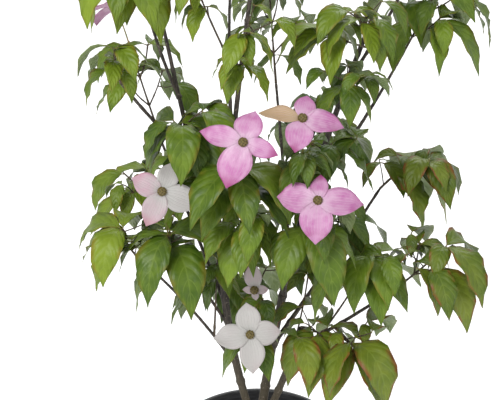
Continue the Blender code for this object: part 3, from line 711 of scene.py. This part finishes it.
def growFiner(crown):
    rng = random.Random(finer["seed"])
    for name, mass in masses.items():
        growth = crown.growths[name]
        outside = crown.limbSkins + [piece for other in crown.growths.values() if other is not growth
                                     for piece in other.skins]
        twigs = list(growth.twigs)
        for count in range(finer["few"] if name in finer["bare"] else finer["many"]):
            path = rng.choice(twigs)[0]
            low = mass.bare if path is growth.path else finer["low"]
            foot = along(path, rng.uniform(low, 1))[0]
            spec = Limb(None, 0, rng.uniform(0, 360), rng.uniform(*finer["lean"]), finer["leanEnd"], 0,
                        rng.uniform(*finer["length"]), 0, 0)
            spur = arcPath(foot, spec, finer["steps"])
            room = tubeSkin(spur, [finer["radius"] + finer["clearance"]] * len(spur), finer["sides"], 1)
            if not clear(room, outside + growth.blades):
                continue
            heading = rng.uniform(0, 360)
            hung = [hangLeaf(rng, growth, mass, outside, spur[-1], heading + turn) for turn in (0, 180)]
            if any(hung):
                radii = [finer["radius"]] * len(spur)
                growth.add(tubeSkin(spur, radii, finer["sides"]))
                growth.twigs.append((spur, radii))
    print("grown,", sum(len(growth.leaves) for growth in crown.growths.values()), "leaves")


def hangLeaf(rng, growth, mass, outside, foot, heading):
    # a leaf on a spur's tip, if one finds room inside the solids' box
    low, high = cadBox
    for attempt in range(finer["tries"]):
        out = direction(heading + rng.uniform(-finer["turn"], finer["turn"]), 90)
        length = mass.leaf * rng.uniform(*finer["sizes"]) * finer["shrink"] ** attempt
        roll = rng.uniform(-rule["leafRoll"], rule["leafRoll"])
        leaf = (foot, out, Vector((0, 0, 1)), rng.uniform(*finer["rise"]), rng.uniform(*rule["leafFall"]),
                roll, length, leafShape)
        blade = bladeSkin(leaf, start=rule["bladeClearFrom"])
        within = all(low[axis] <= blade.low[axis] and blade.high[axis] <= high[axis] for axis in range(3))
        if not within or (blade.points[-1] - growth.path[-1]).length > mass.leaf * rule["reach"]:
            continue
        room = bladeSkin(leaf, finer["clearance"], rule["bladeClearFrom"])
        if clear(room, outside) and clear(room, growth.blades):
            growth.add(bladeSkin(leaf), blade)
            growth.leaves.append(leaf)
            return True
    return False


leafShares = {  # shorter leaves where the photo shows more sky or a whole bloom
    "left_high": 0.62, "center_left": 0.88, "back_center": 0.86, "back_left_low": 0.84, "leader_left": 0.74,
    "leader_front": 0.62, "leader_low": 0.66, "leader_back": 0.80, "right_top_left": 0.76, "right_top": 0.82,
    "right_top_low": 0.74, "back_left": 0.80, "back_right": 0.76, "back_high": 0.82, "back_right_low": 0.84,
    "middle_right": 0.90, "front_top": 0.78,
}


def shortenLeaves(crown):
    for name, share in leafShares.items():
        growth = crown.growths[name]
        growth.leaves = [(*leaf[:6], leaf[6] * share, leaf[7]) for leaf in growth.leaves]


def addPiece(name, mesh, materials, nodes=()):
    piece = linked(name, mesh)
    mesh.materials.clear()
    for material in materials:
        mesh.materials.append(material)
    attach(piece, "root")
    if nodes:
        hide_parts(*nodes)
    print(name, "made,", len(mesh.polygons), "faces")
    return piece


class Heap:
    # many small shapes that become one mesh
    def __init__(self):
        self.points, self.faces, self.places, self.tints = [], [], [], []
        self.count = 0

    def add(self, points, faces, places=None, tint=0.0):
        self.points.append(np.asarray(points, dtype=float))
        self.faces.extend([tuple(corner + self.count for corner in face) for face in faces])
        self.places.append(np.zeros((len(points), 2)) if places is None else places)
        self.tints.append(np.broadcast_to(np.asarray(tint, dtype=float), (len(points),)))
        self.count += len(points)

    def piece(self, name, slotName, materials, nodes=(), thickness=0.0):
        mesh = bpy.data.meshes.new(name)
        mesh.from_pydata(np.concatenate(self.points).tolist(), [], self.faces)
        smooth(mesh)
        corners = np.empty(len(mesh.loops), dtype=np.int32)
        mesh.loops.foreach_get("vertex_index", corners)
        layer = mesh.uv_layers.new(name="place")
        layer.data.foreach_set("uv", np.concatenate(self.places)[corners].ravel())
        tints = mesh.attributes.new("tint", "FLOAT", "POINT")
        tints.data.foreach_set("value", np.concatenate(self.tints))
        piece = addPiece(name, mesh, materials, nodes)
        if thickness:
            wall = piece.modifiers.new("Thickness", "SOLIDIFY")
            wall.thickness = thickness
            wall.offset = -1
            wall.material_offset = 1
        return piece


def smoothPath(points, spacing):
    # a cubic curve through the same points, in even short steps
    knots = [points[0] * 2 - points[1]] + list(points) + [points[-1] * 2 - points[-2]]
    path = []
    for before, start, end, after in zip(knots, knots[1:], knots[2:], knots[3:]):
        count = max(1, round((end - start).length / spacing))
        for step in range(count):
            part = step / count
            path.append((start * 2 + (end - before) * part
                         + (before * 2 - start * 5 + end * 4 - after) * part ** 2
                         + (start * 3 - before - end * 3 + after) * part ** 3) * 0.5)
    return path + [points[-1].copy()]


def tubes(name, runs, sides):
    # tapering tubes along many runs of points, as one bevelled curve made a mesh
    curve = bpy.data.curves.new(name, "CURVE")
    curve.dimensions = "3D"
    curve.bevel_depth = 1
    curve.bevel_resolution = (sides - 4) // 2
    curve.use_fill_caps = True
    for points, radii in runs:
        spline = curve.splines.new("POLY")
        spline.points.add(len(points) - 1)
        for knot, point, radius in zip(spline.points, points, radii):
            knot.co = (*point, 1)
            knot.radius = radius
    holder = linked(name, curve)
    mesh = finished(holder)
    bpy.data.objects.remove(holder, do_unlink=True)
    shape = bmesh.new()
    shape.from_mesh(mesh)
    seal(shape)
    shape.to_mesh(mesh)
    shape.free()
    smooth(mesh)
    return mesh


def ringed(run, look):
    # the swelling at each old pair of buds
    away = abs(run % look["nodeEvery"] - look["nodeEvery"] / 2)
    return 1 + look["nodeSwell"] * math.exp(-(away / look["nodeWidth"]) ** 2)


stemLook = {
    "spacing": 0.0017, "sides": 14, "nodeEvery": 0.058, "nodeSwell": 0.20, "nodeWidth": 0.0028,
    "nodeShift": 0.007, "collar": 0.85, "collarReach": 1.6, "blend": 0.02, "sink": 0.012, "footSwell": 0.5,
    "footReach": 0.024, "tip": 0.7, "relief": 0.00020, "grain": (330, 330, 110), "fine": (0.5, 2.7),
    "soil": 0.168, "buried": 0.004, "flare": 0.0170, "flareBend": 1.25, "neck": 0.0105, "crown": 0.0055,
    "dome": 0.85, "lobes": ((3, 1, 0.0012), (5, 0, 0.00072)),
}


def limbRun(crown, name, limb):
    # a limb's points and radii, thicker at its foot to meet what carries it
    look = stemLook
    path, run = crown.paths[name], 0.0
    if limb.parent is None:
        path, run = [path[0] - Vector((0, 0, look["sink"]))] + path, -look["sink"]
    points = smoothPath(path, look["spacing"])
    carrier = radiusAlong(limbs[limb.parent], limb.at) if limb.parent else limb.foot
    radii = []
    for place, point in enumerate(points):
        if place:
            run += (point - points[place - 1]).length
        radius = radiusAlong(limb, min(max(run / limb.length, 0), 1))
        radius *= ringed(run + len(name) * look["nodeShift"], look)
        if limb.parent is None:
            radius *= 1 + look["footSwell"] * math.exp(-((run + look["sink"]) / look["footReach"]) ** 2)
        elif limb.at == 1:
            radius *= 1 + (carrier / limb.foot - 1) * math.exp(-max(run, 0) / look["blend"])
        else:
            radius *= 1 + look["collar"] * math.exp(-(run / (look["collarReach"] * carrier)) ** 2)
        radii.append(radius)
    radii[-1] *= look["tip"]
    return points, radii


def downTrunk(height):
    # 0 at the fork and above it, 1 at the soil
    return min(max((rule["forkHeight"] - height) / (rule["forkHeight"] - stemLook["soil"]), 0), 1)


def trunkRun():
    # the foot's points and radii, from under the soil to a domed top in the fork
    look = stemLook
    low, top = look["soil"] - look["buried"], rule["forkHeight"] + look["crown"]
    count = round((top - low) / look["spacing"])
    points, radii = [], []
    for step in range(count + 1):
        height = low + (top - low) * step / count
        radius = look["neck"] + (look["flare"] - look["neck"]) * downTrunk(height) ** look["flareBend"]
        past = max(height - rule["forkHeight"], 0) / look["crown"]
        points.append(Vector((0, 0, height)))
        radii.append(radius * math.sqrt(max(1 - look["dome"] * past ** 2, 0)))
    return points, radii


barkTones = {  # in the furrows, between them and near the ground, and the depth of the furrows
    "bark": (tone(29, 25, 22), tone(80, 71, 64), tone(78, 70, 49), 0.0006),
    "twig bark": (tone(46, 36, 29), tone(94, 79, 61), tone(78, 70, 49), 0.0003),
}
spotTone = tone(132, 122, 108)


def barkMaterial(name):
    dark, light, foot, relief = barkTones[name]
    material, shader, start = newMaterial(name)
    streaks = start.grain(1, 4.0, (700, 700, 90))
    spots = start.grain(420, 1.0)
    height = start.node("SeparateXYZ", None, {0: start.node("TexCoord", None, None, "Object")}).output("Z")
    colour = streaks.fade(0.3, 0.7).blend(dark, light)
    colour = height.fade(0.20, 0.40, 0.75, 0.0).blend(colour, foot)
    colour = (spots.fade(0.66, 0.72) * 0.6).blend(colour, spotTone)
    feed(shader, colour=colour, roughness=streaks * 0.25 + 0.6,
         normal=bumped(streaks + spots * 0.5, 0.6, relief))
    return material


def makeStems(crown):
    look = stemLook
    runs = [trunkRun()] + [limbRun(crown, name, limb) for name, limb in limbs.items()]
    mesh = tubes("stems", runs, look["sides"])
    shifts = []
    share, scale = look["fine"]
    for vert in mesh.vertices:
        coarse = Vector([value * stretch for value, stretch in zip(vert.co, look["grain"])])
        shift = look["relief"] * (noise.noise(coarse) + share * noise.noise(coarse * scale))
        turn = math.atan2(vert.co.y, vert.co.x)
        for count, phase, depth in look["lobes"]:
            shift += depth * downTrunk(vert.co.z) ** 2 * math.sin(count * turn + phase)
        shifts.append(vert.normal * shift)
    for vert, shift in zip(mesh.vertices, shifts):
        vert.co += shift
    addPiece("stems", mesh, [barkMaterial("bark")], ["trunk"] + list(limbs))


twigLook = {"spacing": 0.004, "sides": 6, "nodeEvery": 0.026, "nodeSwell": 0.28, "nodeWidth": 0.002,
            "root": 1.3, "rootBend": 6}


def makeTwigs(crown):
    look = twigLook
    runs = []
    for name, mass in masses.items():
        growth = crown.growths[name]
        for path, widths in growth.twigs:
            points = list(path)
            if path is growth.path:
                points = [along(crown.paths[mass.parent], mass.at)[0]] + points
            points = smoothPath(points, look["spacing"])
            last = len(points) - 1
            run, radii = 0.0, []
            for place, point in enumerate(points):
                run += (point - points[max(place - 1, 0)]).length
                share = place / last
                radii.append((widths[0] + (widths[-1] - widths[0]) * share) * ringed(run, look)
                             * (1 + (look["root"] - 1) * (1 - share) ** look["rootBend"]))
            runs.append((points, radii))
    addPiece("twigs", tubes("twigs", runs, look["sides"]), [barkMaterial("twig bark")])


def bladeTemplate(look):
    # a flat grid: each point's place across, its step along and the faces
    shape = bmesh.new()
    last = len(look["steps"]) - 1
    bmesh.ops.create_grid(shape, x_segments=look["across"], y_segments=last, size=1)
    points, faces = pointsAndFaces(shape)
    rows = np.array([look["steps"][round((height + 1) / 2 * last)] for height in points[:, 1]])
    return points[:, 0], rows, faces


def addBlade(heap, spec, template, look, rng, tint, broad=1.0):
    # the grid laid along a blade's curve, narrowed to its outline, folded, twisted and rippled
    sides, rows, faces = template
    curve = bladeCurve(*spec[:7])
    length = spec[6]
    middle, across, upward = (np.array([step[part] for step in curve])[rows] for part in range(3))
    share = rows / rule["bladeSteps"]
    half = np.interp(share, look["shares"], look["halves"]) * broad
    cup = np.interp(share, look["shares"], look["cups"])
    phase = np.where(sides > 0, rng.uniform(0, 2 * math.pi), rng.uniform(0, 2 * math.pi))
    ripple = look["wave"] * rng.uniform(*look["waveShare"])
    ripple = ripple * np.sin(2 * math.pi * look["waves"] * share + phase)
    ripple = ripple * sides ** 2 * np.sin(math.pi * share)
    drift = rng.uniform(-look["drift"], look["drift"]) * share ** 2
    twist = (math.radians(rng.uniform(-look["twist"], look["twist"])) * share)[:, None]
    cosine, sine = np.cos(twist), np.sin(twist)
    across, upward = across * cosine + upward * sine, upward * cosine - across * sine
    points = middle - across * ((sides * half + drift) * length)[:, None]
    points = points + upward * ((cup * np.abs(sides) ** look["fold"] + ripple) * length)[:, None]
    heap.add(points, faces, np.stack(((sides + 1) / 2, share), axis=1), tint)


leafLook = {
    "seed": 9, "across": 4, "steps": (0, 1, 3, 5, 7, 9, 11, 13, 15, 17, 19, 20), "thickness": 0.0003,
    "shares": (0, 0.05, 0.10, 0.15, 0.25, 0.35, 0.45, 0.55, 0.65, 0.75, 0.85, 0.92, 0.96, 1),
    "halves": (0.006, 0.010, 0.062, 0.108, 0.168, 0.200, 0.206, 0.194, 0.164, 0.118, 0.064, 0.032, 0.016,
               0.003),
    "cups": (0, 0.002, 0.012, 0.022, 0.034, 0.040, 0.040, 0.036, 0.028, 0.020, 0.012, 0.006, 0.003, 0),
    "fold": 1.3, "wave": 0.042, "waveShare": (0.3, 1), "waves": 3.1, "drift": 0.07, "twist": 28, "veins": 7,
    "veinLean": 0.30, "relief": 0.0011, "gloss": 0.34, "spray": (0.1, 0.6), "vary": (-0.25, 0.5),
}
leafTones = {  # each group's darker and lighter green, the colour of its margins and how much of it
    "leavesMid": (tone(58, 84, 16), tone(112, 136, 30), tone(126, 100, 30), 0.50),
    "leavesDark": (tone(48, 74, 16), tone(98, 122, 28), tone(110, 88, 28), 0.45),
    "leavesBright": (tone(70, 94, 16), tone(120, 140, 32), tone(132, 98, 34), 0.55),
    "leavesBronze": (tone(64, 88, 18), tone(112, 124, 30), tone(124, 62, 30), 0.90),
}
underTones = (tone(98, 116, 72), tone(134, 148, 100), tone(124, 112, 76), 0.3)
veinTones = {"top": tone(146, 166, 76), "underside": tone(180, 190, 140)}
leafGroups = {
    "leavesDark": ["front_top", "front_middle", "middle_right", "right_inner", "back_low", "back_center",
                   "back_right_low"],
    "leavesBright": ["top_left", "left_high", "leader_left", "leader_front", "leader_low", "right_top",
                     "right_top_left", "top_right", "top_stem", "left_edge", "back_left_low", "back_high"],
    "leavesBronze": ["right_low", "right_front", "right_middle", "right_shoot", "right_tip"],
}


def leafMaterial(name, face, relief, dark, light, edge, tinge):
    look = leafLook
    material, shader, start = newMaterial(name + " " + face)
    shader.inputs["Specular IOR Level"].default_value = look["gloss"]
    side, share = start.bladePlace()
    rib = ((share - side ** 1.4 * look["veinLean"]) * look["veins"]).calc("PINGPONG", 0.5)
    lines = (rib.fade(0.0, 0.11, 1.0, 0.0) * side.fade(0.80, 1.0, 1.0, 0.0)).calc(
        "MAXIMUM", side.fade(0.0, 0.08, 1.0, 0.0))
    mottle = start.grain(70, 2.0)
    colour = (start.tint() * 0.65 + mottle.fade(0.3, 0.7) * 0.35).blend(dark, light)
    colour = (lines * 0.16).blend(colour, veinTones[face])
    colour = (side.fade(0.62, 1.0) * mottle.fade(0.42, 0.62) * tinge).blend(colour, edge)
    quilt = rib.fade(0.0, 0.45) * 0.5 + side.fade(0.0, 0.2) * 0.25 + start.grain(240, 3.0) * 0.6
    feed(shader, colour=colour, roughness=mottle * 0.25 + 0.30, normal=bumped(quilt, 0.6, relief))
    return material


def makeLeaves(crown):
    look = leafLook
    template = bladeTemplate(look)
    under = leafMaterial("leaf", "underside", -look["relief"], *underTones)
    grouped = [name for names in leafGroups.values() for name in names]
    groups = {"leavesMid": [name for name in masses if name not in grouped], **leafGroups}
    rng = random.Random(look["seed"])
    for title, names in groups.items():
        upper = leafMaterial(title, "top", look["relief"], *leafTones[title])
        heap = Heap()
        for name in names:
            spray = rng.uniform(*look["spray"])  # each spray has a tone of its own
            for spec in crown.growths[name].leaves:
                addBlade(heap, spec, template, look, rng, spray + rng.uniform(*look["vary"]))
        heap.piece(title, "leaves", [upper, under], names, look["thickness"])


stalkLook = {"sides": 4, "petiole": (0.0007, 0.0006, 0.0004), "bloom": (0.0010, 0.0008), "below": 0.0002,
             "spacing": 0.004, "green": tone(104, 112, 52), "brown": tone(136, 110, 66)}


def makeStalks(crown):
    look = stalkLook
    runs = []
    for growth in crown.growths.values():
        for spec in growth.leaves:
            foot = bladeCurve(*spec[:7])[:len(look["petiole"])]
            runs.append(([point - upward * look["below"] for point, across, upward in foot], look["petiole"]))
        if growth.stalk:
            points = smoothPath(growth.stalk, look["spacing"])
            foot, tip = look["bloom"]
            last = len(points) - 1
            runs.append((points, [foot + (tip - foot) * place / last for place in range(last + 1)]))
    material, shader, start = newMaterial("stalk green", 0.5)
    mottle = start.grain(120, 2.0)
    colour = mottle.fade(0.3, 0.7).blend(look["green"], look["brown"])
    feed(shader, colour=colour, normal=bumped(mottle, 0.2, 0.0003))
    addPiece("stalks", tubes("stalks", runs, look["sides"]), [material])


bractLook = {
    "seed": 21, "across": 8, "steps": (0, 1, 2, 4, 6, 8, 10, 12, 14, 16, 18, 19, 20), "thickness": 0.0004,
    "shares": (0, 0.05, 0.15, 0.25, 0.35, 0.45, 0.55, 0.65, 0.75, 0.83, 0.90, 0.95, 1),
    "halves": (0.060, 0.110, 0.215, 0.295, 0.345, 0.365, 0.360, 0.330, 0.270, 0.200, 0.115, 0.055, 0.006),
    "cups": (0.010, 0.016, 0.030, 0.042, 0.050, 0.052, 0.050, 0.044, 0.036, 0.028, 0.018, 0.010, 0),
    "fold": 1.7, "wave": 0.050, "waveShare": (0.3, 1), "waves": 1.5, "drift": 0.05, "twist": 22,
    "pinkFrom": 0.5, "even": (0.84, 1.0), "relief": 0.0010, "veins": 4.5, "veinLean": 0.6,
    "dry": tone(172, 150, 98),
}
blush = {  # how pink each bract is, from the viewer's right and round against the clock
    "front_left": (1.0, 0.95, 0.9, 1.0), "front_top": (0.8, 1.0, 1.4, 0.85),
    "front_middle": (0.9, 0.8, 0.95, 1.0), "low_left": (0.02, 0.02, 0.48, 0.34),
    "low_center": (0.05, 0.02, 0.05, 0.0), "low_middle": (0.3, 0.3, 0.3, 0.3),
    "right_high": (0.9, 1.0, 0.8, 0.9), "top_right": (0.05, 0.2, 0.1, 0.0),
    "top_middle": (0.8, 0.9, 0.9, 0.7), "top_leader": (0.2, 0.3, 0.1, 0.3),
    "back_left": (0.9, 1.0, 0.9, 0.8), "back_right": (0.8, 0.9, 1.0, 0.9), "back_high": (0.1, 0.0, 0.2, 0.1),
}
bractTones = {  # pale, full and at the tips
    "bractsPink": (tone(212, 180, 202), tone(176, 100, 156), tone(150, 48, 112)),
    "bractsWhite": (tone(177, 176, 172), tone(186, 148, 164), tone(172, 98, 120)),
}
bractSizes = {  # length and width shares where the bracts are uneven, in the same order
    "front_left": ((0.76, 0.70), (0.70, 1.20), (0.94, 0.66), (1.0, 1.0)),
    "front_top": ((0.95, 0.95), (0.62, 1.10), (1.0, 0.55), (0.86, 1.0)),
    "front_middle": ((1.0, 1.0), (0.64, 0.85), (0.90, 1.10), (1.0, 1.0)),
    "low_left": ((1.0, 1.0), (0.85, 0.90), (0.85, 1.0), (0.98, 0.90)),
    "low_center": ((0.86, 1.08), (0.88, 1.08), (1.0, 0.95), (1.06, 0.90)),
    "low_middle": ((0.50, 0.9), (1.0, 0.9), (0.45, 0.9), (0.40, 0.9)),
}


def bractMaterial(name, relief, pale, full, tip):
    look = bractLook
    material, shader, start = newMaterial(name)
    side, share = start.bladePlace()
    mottle = start.grain(120, 3.0)
    cloud = start.grain(55, 2.0)
    tint = start.tint()
    colour = ((share.fade(0.0, 0.6) * 0.62 + mottle.fade(0.34, 0.72) * 0.36) * tint.fade(0.0, 0.6, 0.10, 1.0)
              ).blend(pale, full)
    colour = ((share.fade(0.60, 1.0) * 0.85 + side.fade(0.75, 1.0) * 0.35) * cloud.fade(0.44, 0.60)
              * tint.fade(0.0, 0.6, 0.15, 1.0)).blend(colour, tip)
    colour = tint.fade(1.1, 1.5).blend(colour, look["dry"])  # one that dries off early
    lines = (side * look["veins"] - share * look["veinLean"]).calc("PINGPONG", 0.5).fade(0.0, 0.14, 1.0, 0.0)
    colour = (lines * share.fade(0.5, 1.0, 0.4, 0.05)).blend(colour, pale)
    feed(shader, colour=colour, roughness=mottle * 0.2 + 0.4,
         normal=bumped(mottle * 0.9 - lines * 0.3, 0.6, relief))
    return material


def makeBracts(crown):
    look = bractLook
    template = bladeTemplate(look)
    heaps = {title: Heap() for title in bractTones}
    rng = random.Random(look["seed"])
    for name, growth in crown.growths.items():
        for place, (spec, pink) in enumerate(zip(growth.bracts, blush.get(name, ()))):
            title = "bractsPink" if pink >= look["pinkFrom"] else "bractsWhite"
            drawn = (rng.uniform(*look["even"]), rng.uniform(*look["even"]))
            long, broad = bractSizes[name][place] if name in bractSizes else drawn
            addBlade(heaps[title], spec[:6] + (spec[6] * long,), template, look, rng, pink, broad)
    for title, heap in heaps.items():
        upper = bractMaterial(title + " top", look["relief"], *bractTones[title])
        under = bractMaterial(title + " underside", -look["relief"], *bractTones[title])
        heap.piece(title, "leaves", [upper, under], thickness=look["thickness"])


buttonLook = {"florets": 34, "width": 0.34, "low": 0.80, "rise": 0.26, "subdivisions": 4,
              "hollows": tone(46, 36, 18), "heads": tone(114, 100, 46)}


def makeButtons(crown):
    look = buttonLook
    unit, faces = ball(look["subdivisions"])
    count = np.arange(look["florets"]) + 0.5  # the florets stand on a spiral round the button
    height = 1 - 2 * count / look["florets"]
    turn = math.pi * (1 + math.sqrt(5)) * count
    ring = np.sqrt(1 - height ** 2)
    heads = np.stack((ring * np.cos(turn), ring * np.sin(turn), height), 1)
    away = np.arccos(np.clip(unit @ heads.T, -1, 1)).min(axis=1)
    bulge = np.sqrt(np.clip(1 - (away / look["width"]) ** 2, 0, 1))
    points = unit * (rule["buttonRadius"] * (look["low"] + look["rise"] * bulge))[:, None]
    heap = Heap()
    for growth in crown.growths.values():
        if growth.button:
            heap.add(points + np.array(growth.button), faces, tint=bulge)
    material, shader, start = newMaterial("button", 0.6)
    mottle = start.grain(500, 2.0)
    colour = (start.tint() * 0.7 + mottle * 0.3).blend(look["hollows"], look["heads"])
    feed(shader, colour=colour, normal=bumped(mottle, 0.4, 0.0004))
    heap.piece("buttons", "leaves", [material])


def spun(profile, steps):
    # a closed turned shape from radii and heights that start and end on the axis
    shape = bmesh.new()
    verts = [shape.verts.new((radius, 0, height)) for radius, height in profile]
    edges = [shape.edges.new(pair) for pair in zip(verts, verts[1:])]
    bmesh.ops.spin(shape, geom=verts + edges, axis=(0, 0, 1), angle=2 * math.pi, steps=steps, use_merge=True)
    seal(shape)
    return shape


potLook = {"height": 0.190, "rim": 0.105, "foot": 0.082, "wall": 0.0018, "lip": 0.0035, "lipHeight": 0.013,
           "steps": 120, "beads": (0.058, 0.118), "bead": 0.0005, "round": 0.0014, "sharp": 40,
           "drains": 6, "drainRadius": 0.006, "drainRing": 0.060, "drainSides": 24,
           "dark": tone(24, 24, 26), "scuffed": tone(50, 51, 54)}


def makePot():
    look = potLook
    rim, foot, wall, top, soft = (look[key] for key in ("rim", "foot", "wall", "height", "round"))
    slope = (rim - look["lip"] - foot) / top
    lipFoot, inner = top - look["lipHeight"], rim - look["lip"] - wall
    # out along the underside, up the wall, over the lip and down the inner side
    profile = [(0, 0), (foot - 2 * soft, 0), (foot - soft / 3, soft / 3), (foot + slope * 2 * soft, 2 * soft)]
    for bead in look["beads"]:
        for step, proud in ((-soft, 0), (0, look["bead"]), (soft, 0)):
            profile.append((foot + slope * (bead + step) + proud, bead + step))
    profile += [(foot + slope * lipFoot, lipFoot), (rim - soft / 2, lipFoot), (rim, lipFoot + soft / 2),
                (rim, top - soft), (rim - soft / 3, top - soft / 3), (rim - soft, top), (inner + soft, top),
                (inner + soft / 3, top - soft / 3), (inner - slope * soft, top - soft),
                (foot + slope * wall - wall, wall), (0, wall)]
    shape = spun(profile, look["steps"])
    drains = bmesh.new()
    for count in range(look["drains"]):
        turn = 2 * math.pi * (count + 0.5) / look["drains"]
        x, y = look["drainRing"] * math.cos(turn), look["drainRing"] * math.sin(turn)
        place = Matrix.Translation((x, y, 0))
        bmesh.ops.create_cone(drains, cap_ends=True, segments=look["drainSides"], radius1=look["drainRadius"],
                              radius2=look["drainRadius"], depth=6 * wall, matrix=place)
    body, cutter = linked("pot body", meshOf("pot", shape)), linked("drains", meshOf("drains", drains))
    holes = body.modifiers.new("Drains", "BOOLEAN")
    holes.operation = "DIFFERENCE"
    holes.solver = "EXACT"
    holes.object = cutter
    mesh = finished(body)
    for thing in (body, cutter):
        bpy.data.objects.remove(thing, do_unlink=True)
    smooth(mesh, look["sharp"])
    material, shader, start = newMaterial("black plastic")
    scuffs = start.grain(1, 4.0, (60, 60, 420))
    fine = start.grain(900, 1.0)
    colour = scuffs.fade(0.35, 0.75).blend(look["dark"], look["scuffed"])
    feed(shader, colour=colour, roughness=scuffs * 0.3 + 0.25,
         normal=bumped(fine + scuffs * 0.5, 0.25, 0.0003))
    addPiece("potShell", mesh, [material], ["pot"])


soilLook = {"top": 0.168, "edge": 0.165, "flat": 0.027, "floor": 0.0021, "inner": 0.0799, "slope": 0.10263,
            "rings": 34, "steps": 120, "rough": ((0.0014, 60), (0.0008, 190)), "crumbs": 1500, "seed": 4,
            "crumb": (0.0006, 0.0026), "small": (0.4, 1), "stretch": ((0.7, 1.5), (0.5, 1), (0.35, 0.8)),
            "dents": (0.8, 1.15), "proud": 0.2, "keepOff": 0.019, "spread": 0.0935, "level": 8, "sharp": 60,
            "subdivisions": 1, "wet": tone(38, 28, 22), "dry": tone(92, 70, 52), "shadow": tone(28, 22, 18)}
crumbTones = [  # by a crumb's tint, which is dealt out by chance, up to the white of perlite
    (0, tone(34, 26, 20)), (0.70, tone(78, 58, 42)), (0.95, tone(124, 98, 70)), (1, tone(206, 202, 192)),
]
soilReach = soilLook["inner"] + soilLook["slope"] * soilLook["edge"]


def soilHeight(x, y):
    look = soilLook
    reach = math.hypot(x, y)
    height = float(np.interp(reach, (look["flat"], soilReach), (look["top"], look["edge"])))
    rough = sum(size * noise.noise(Vector((x, y, 0)) * scale) for size, scale in look["rough"])
    return height + rough * max(1 - (reach / soilReach) ** look["level"], 0)


def makeSoil():
    look = soilLook
    profile = [(0, look["floor"]), (look["inner"], look["floor"])]
    profile += [(soilReach * (1 - ring / look["rings"]), look["edge"]) for ring in range(look["rings"] + 1)]
    shape = spun(profile, look["steps"])
    for vert in shape.verts:
        if vert.co.z > look["floor"] * 2:  # the top's points, and none of the underside's
            vert.co.z = soilHeight(vert.co.x, vert.co.y)
    mesh = meshOf("soil", shape)
    smooth(mesh, look["sharp"])
    material, shader, start = newMaterial("compost", 0.95)
    lumps, fine = start.grain(220, 4.0), start.grain(1100, 2.0)
    colour = (lumps * 0.6 + fine * 0.4).fade(0.3, 0.7).blend(look["wet"], look["dry"])
    feed(shader, colour=colour, normal=bumped(lumps + fine * 0.5, 0.8, 0.001))
    addPiece("soilBody", mesh, [material], ["soil"])


def makeCrumbs():
    look = soilLook
    unit, faces = ball(look["subdivisions"])
    rng = random.Random(look["seed"])
    heap = Heap()
    for count in range(look["crumbs"]):
        reach, turn = look["spread"] * math.sqrt(rng.random()), rng.uniform(0, 2 * math.pi)
        size = rng.uniform(*look["crumb"]) * rng.uniform(*look["small"])
        stretch = np.array([rng.uniform(*limits) for limits in look["stretch"]])
        dents = np.array([rng.uniform(*look["dents"]) for vert in unit])[:, None]
        turned = np.array(Euler([rng.uniform(0, math.pi) for axis in range(3)]).to_matrix())
        tint = rng.random()
        if reach < look["keepOff"]:
            continue
        x, y = reach * math.cos(turn), reach * math.sin(turn)
        points = (unit * dents * stretch * size) @ turned.T
        heap.add(points + np.array((x, y, soilHeight(x, y) + size * look["proud"])), faces, tint=tint)
    material, shader, start = newMaterial("compost crumbs", 0.9)
    fine = start.grain(1300, 2.0)
    shades = start.node("ValToRGB", {"stops": crumbTones}, {"Fac": start.tint()})
    colour = (fine * 0.4).blend(shades, look["shadow"])
    feed(shader, colour=colour, normal=bumped(fine, 0.5, 0.0005))
    heap.piece("crumbs", "soil", [material])


makeCamera()
makeStudio()
crown = Crown()
growFiner(crown)
shortenLeaves(crown)
makeStems(crown)
makeTwigs(crown)
makeLeaves(crown)
makeStalks(crown)
makeBracts(crown)
makeButtons(crown)
makePot()
makeSoil()
makeCrumbs()
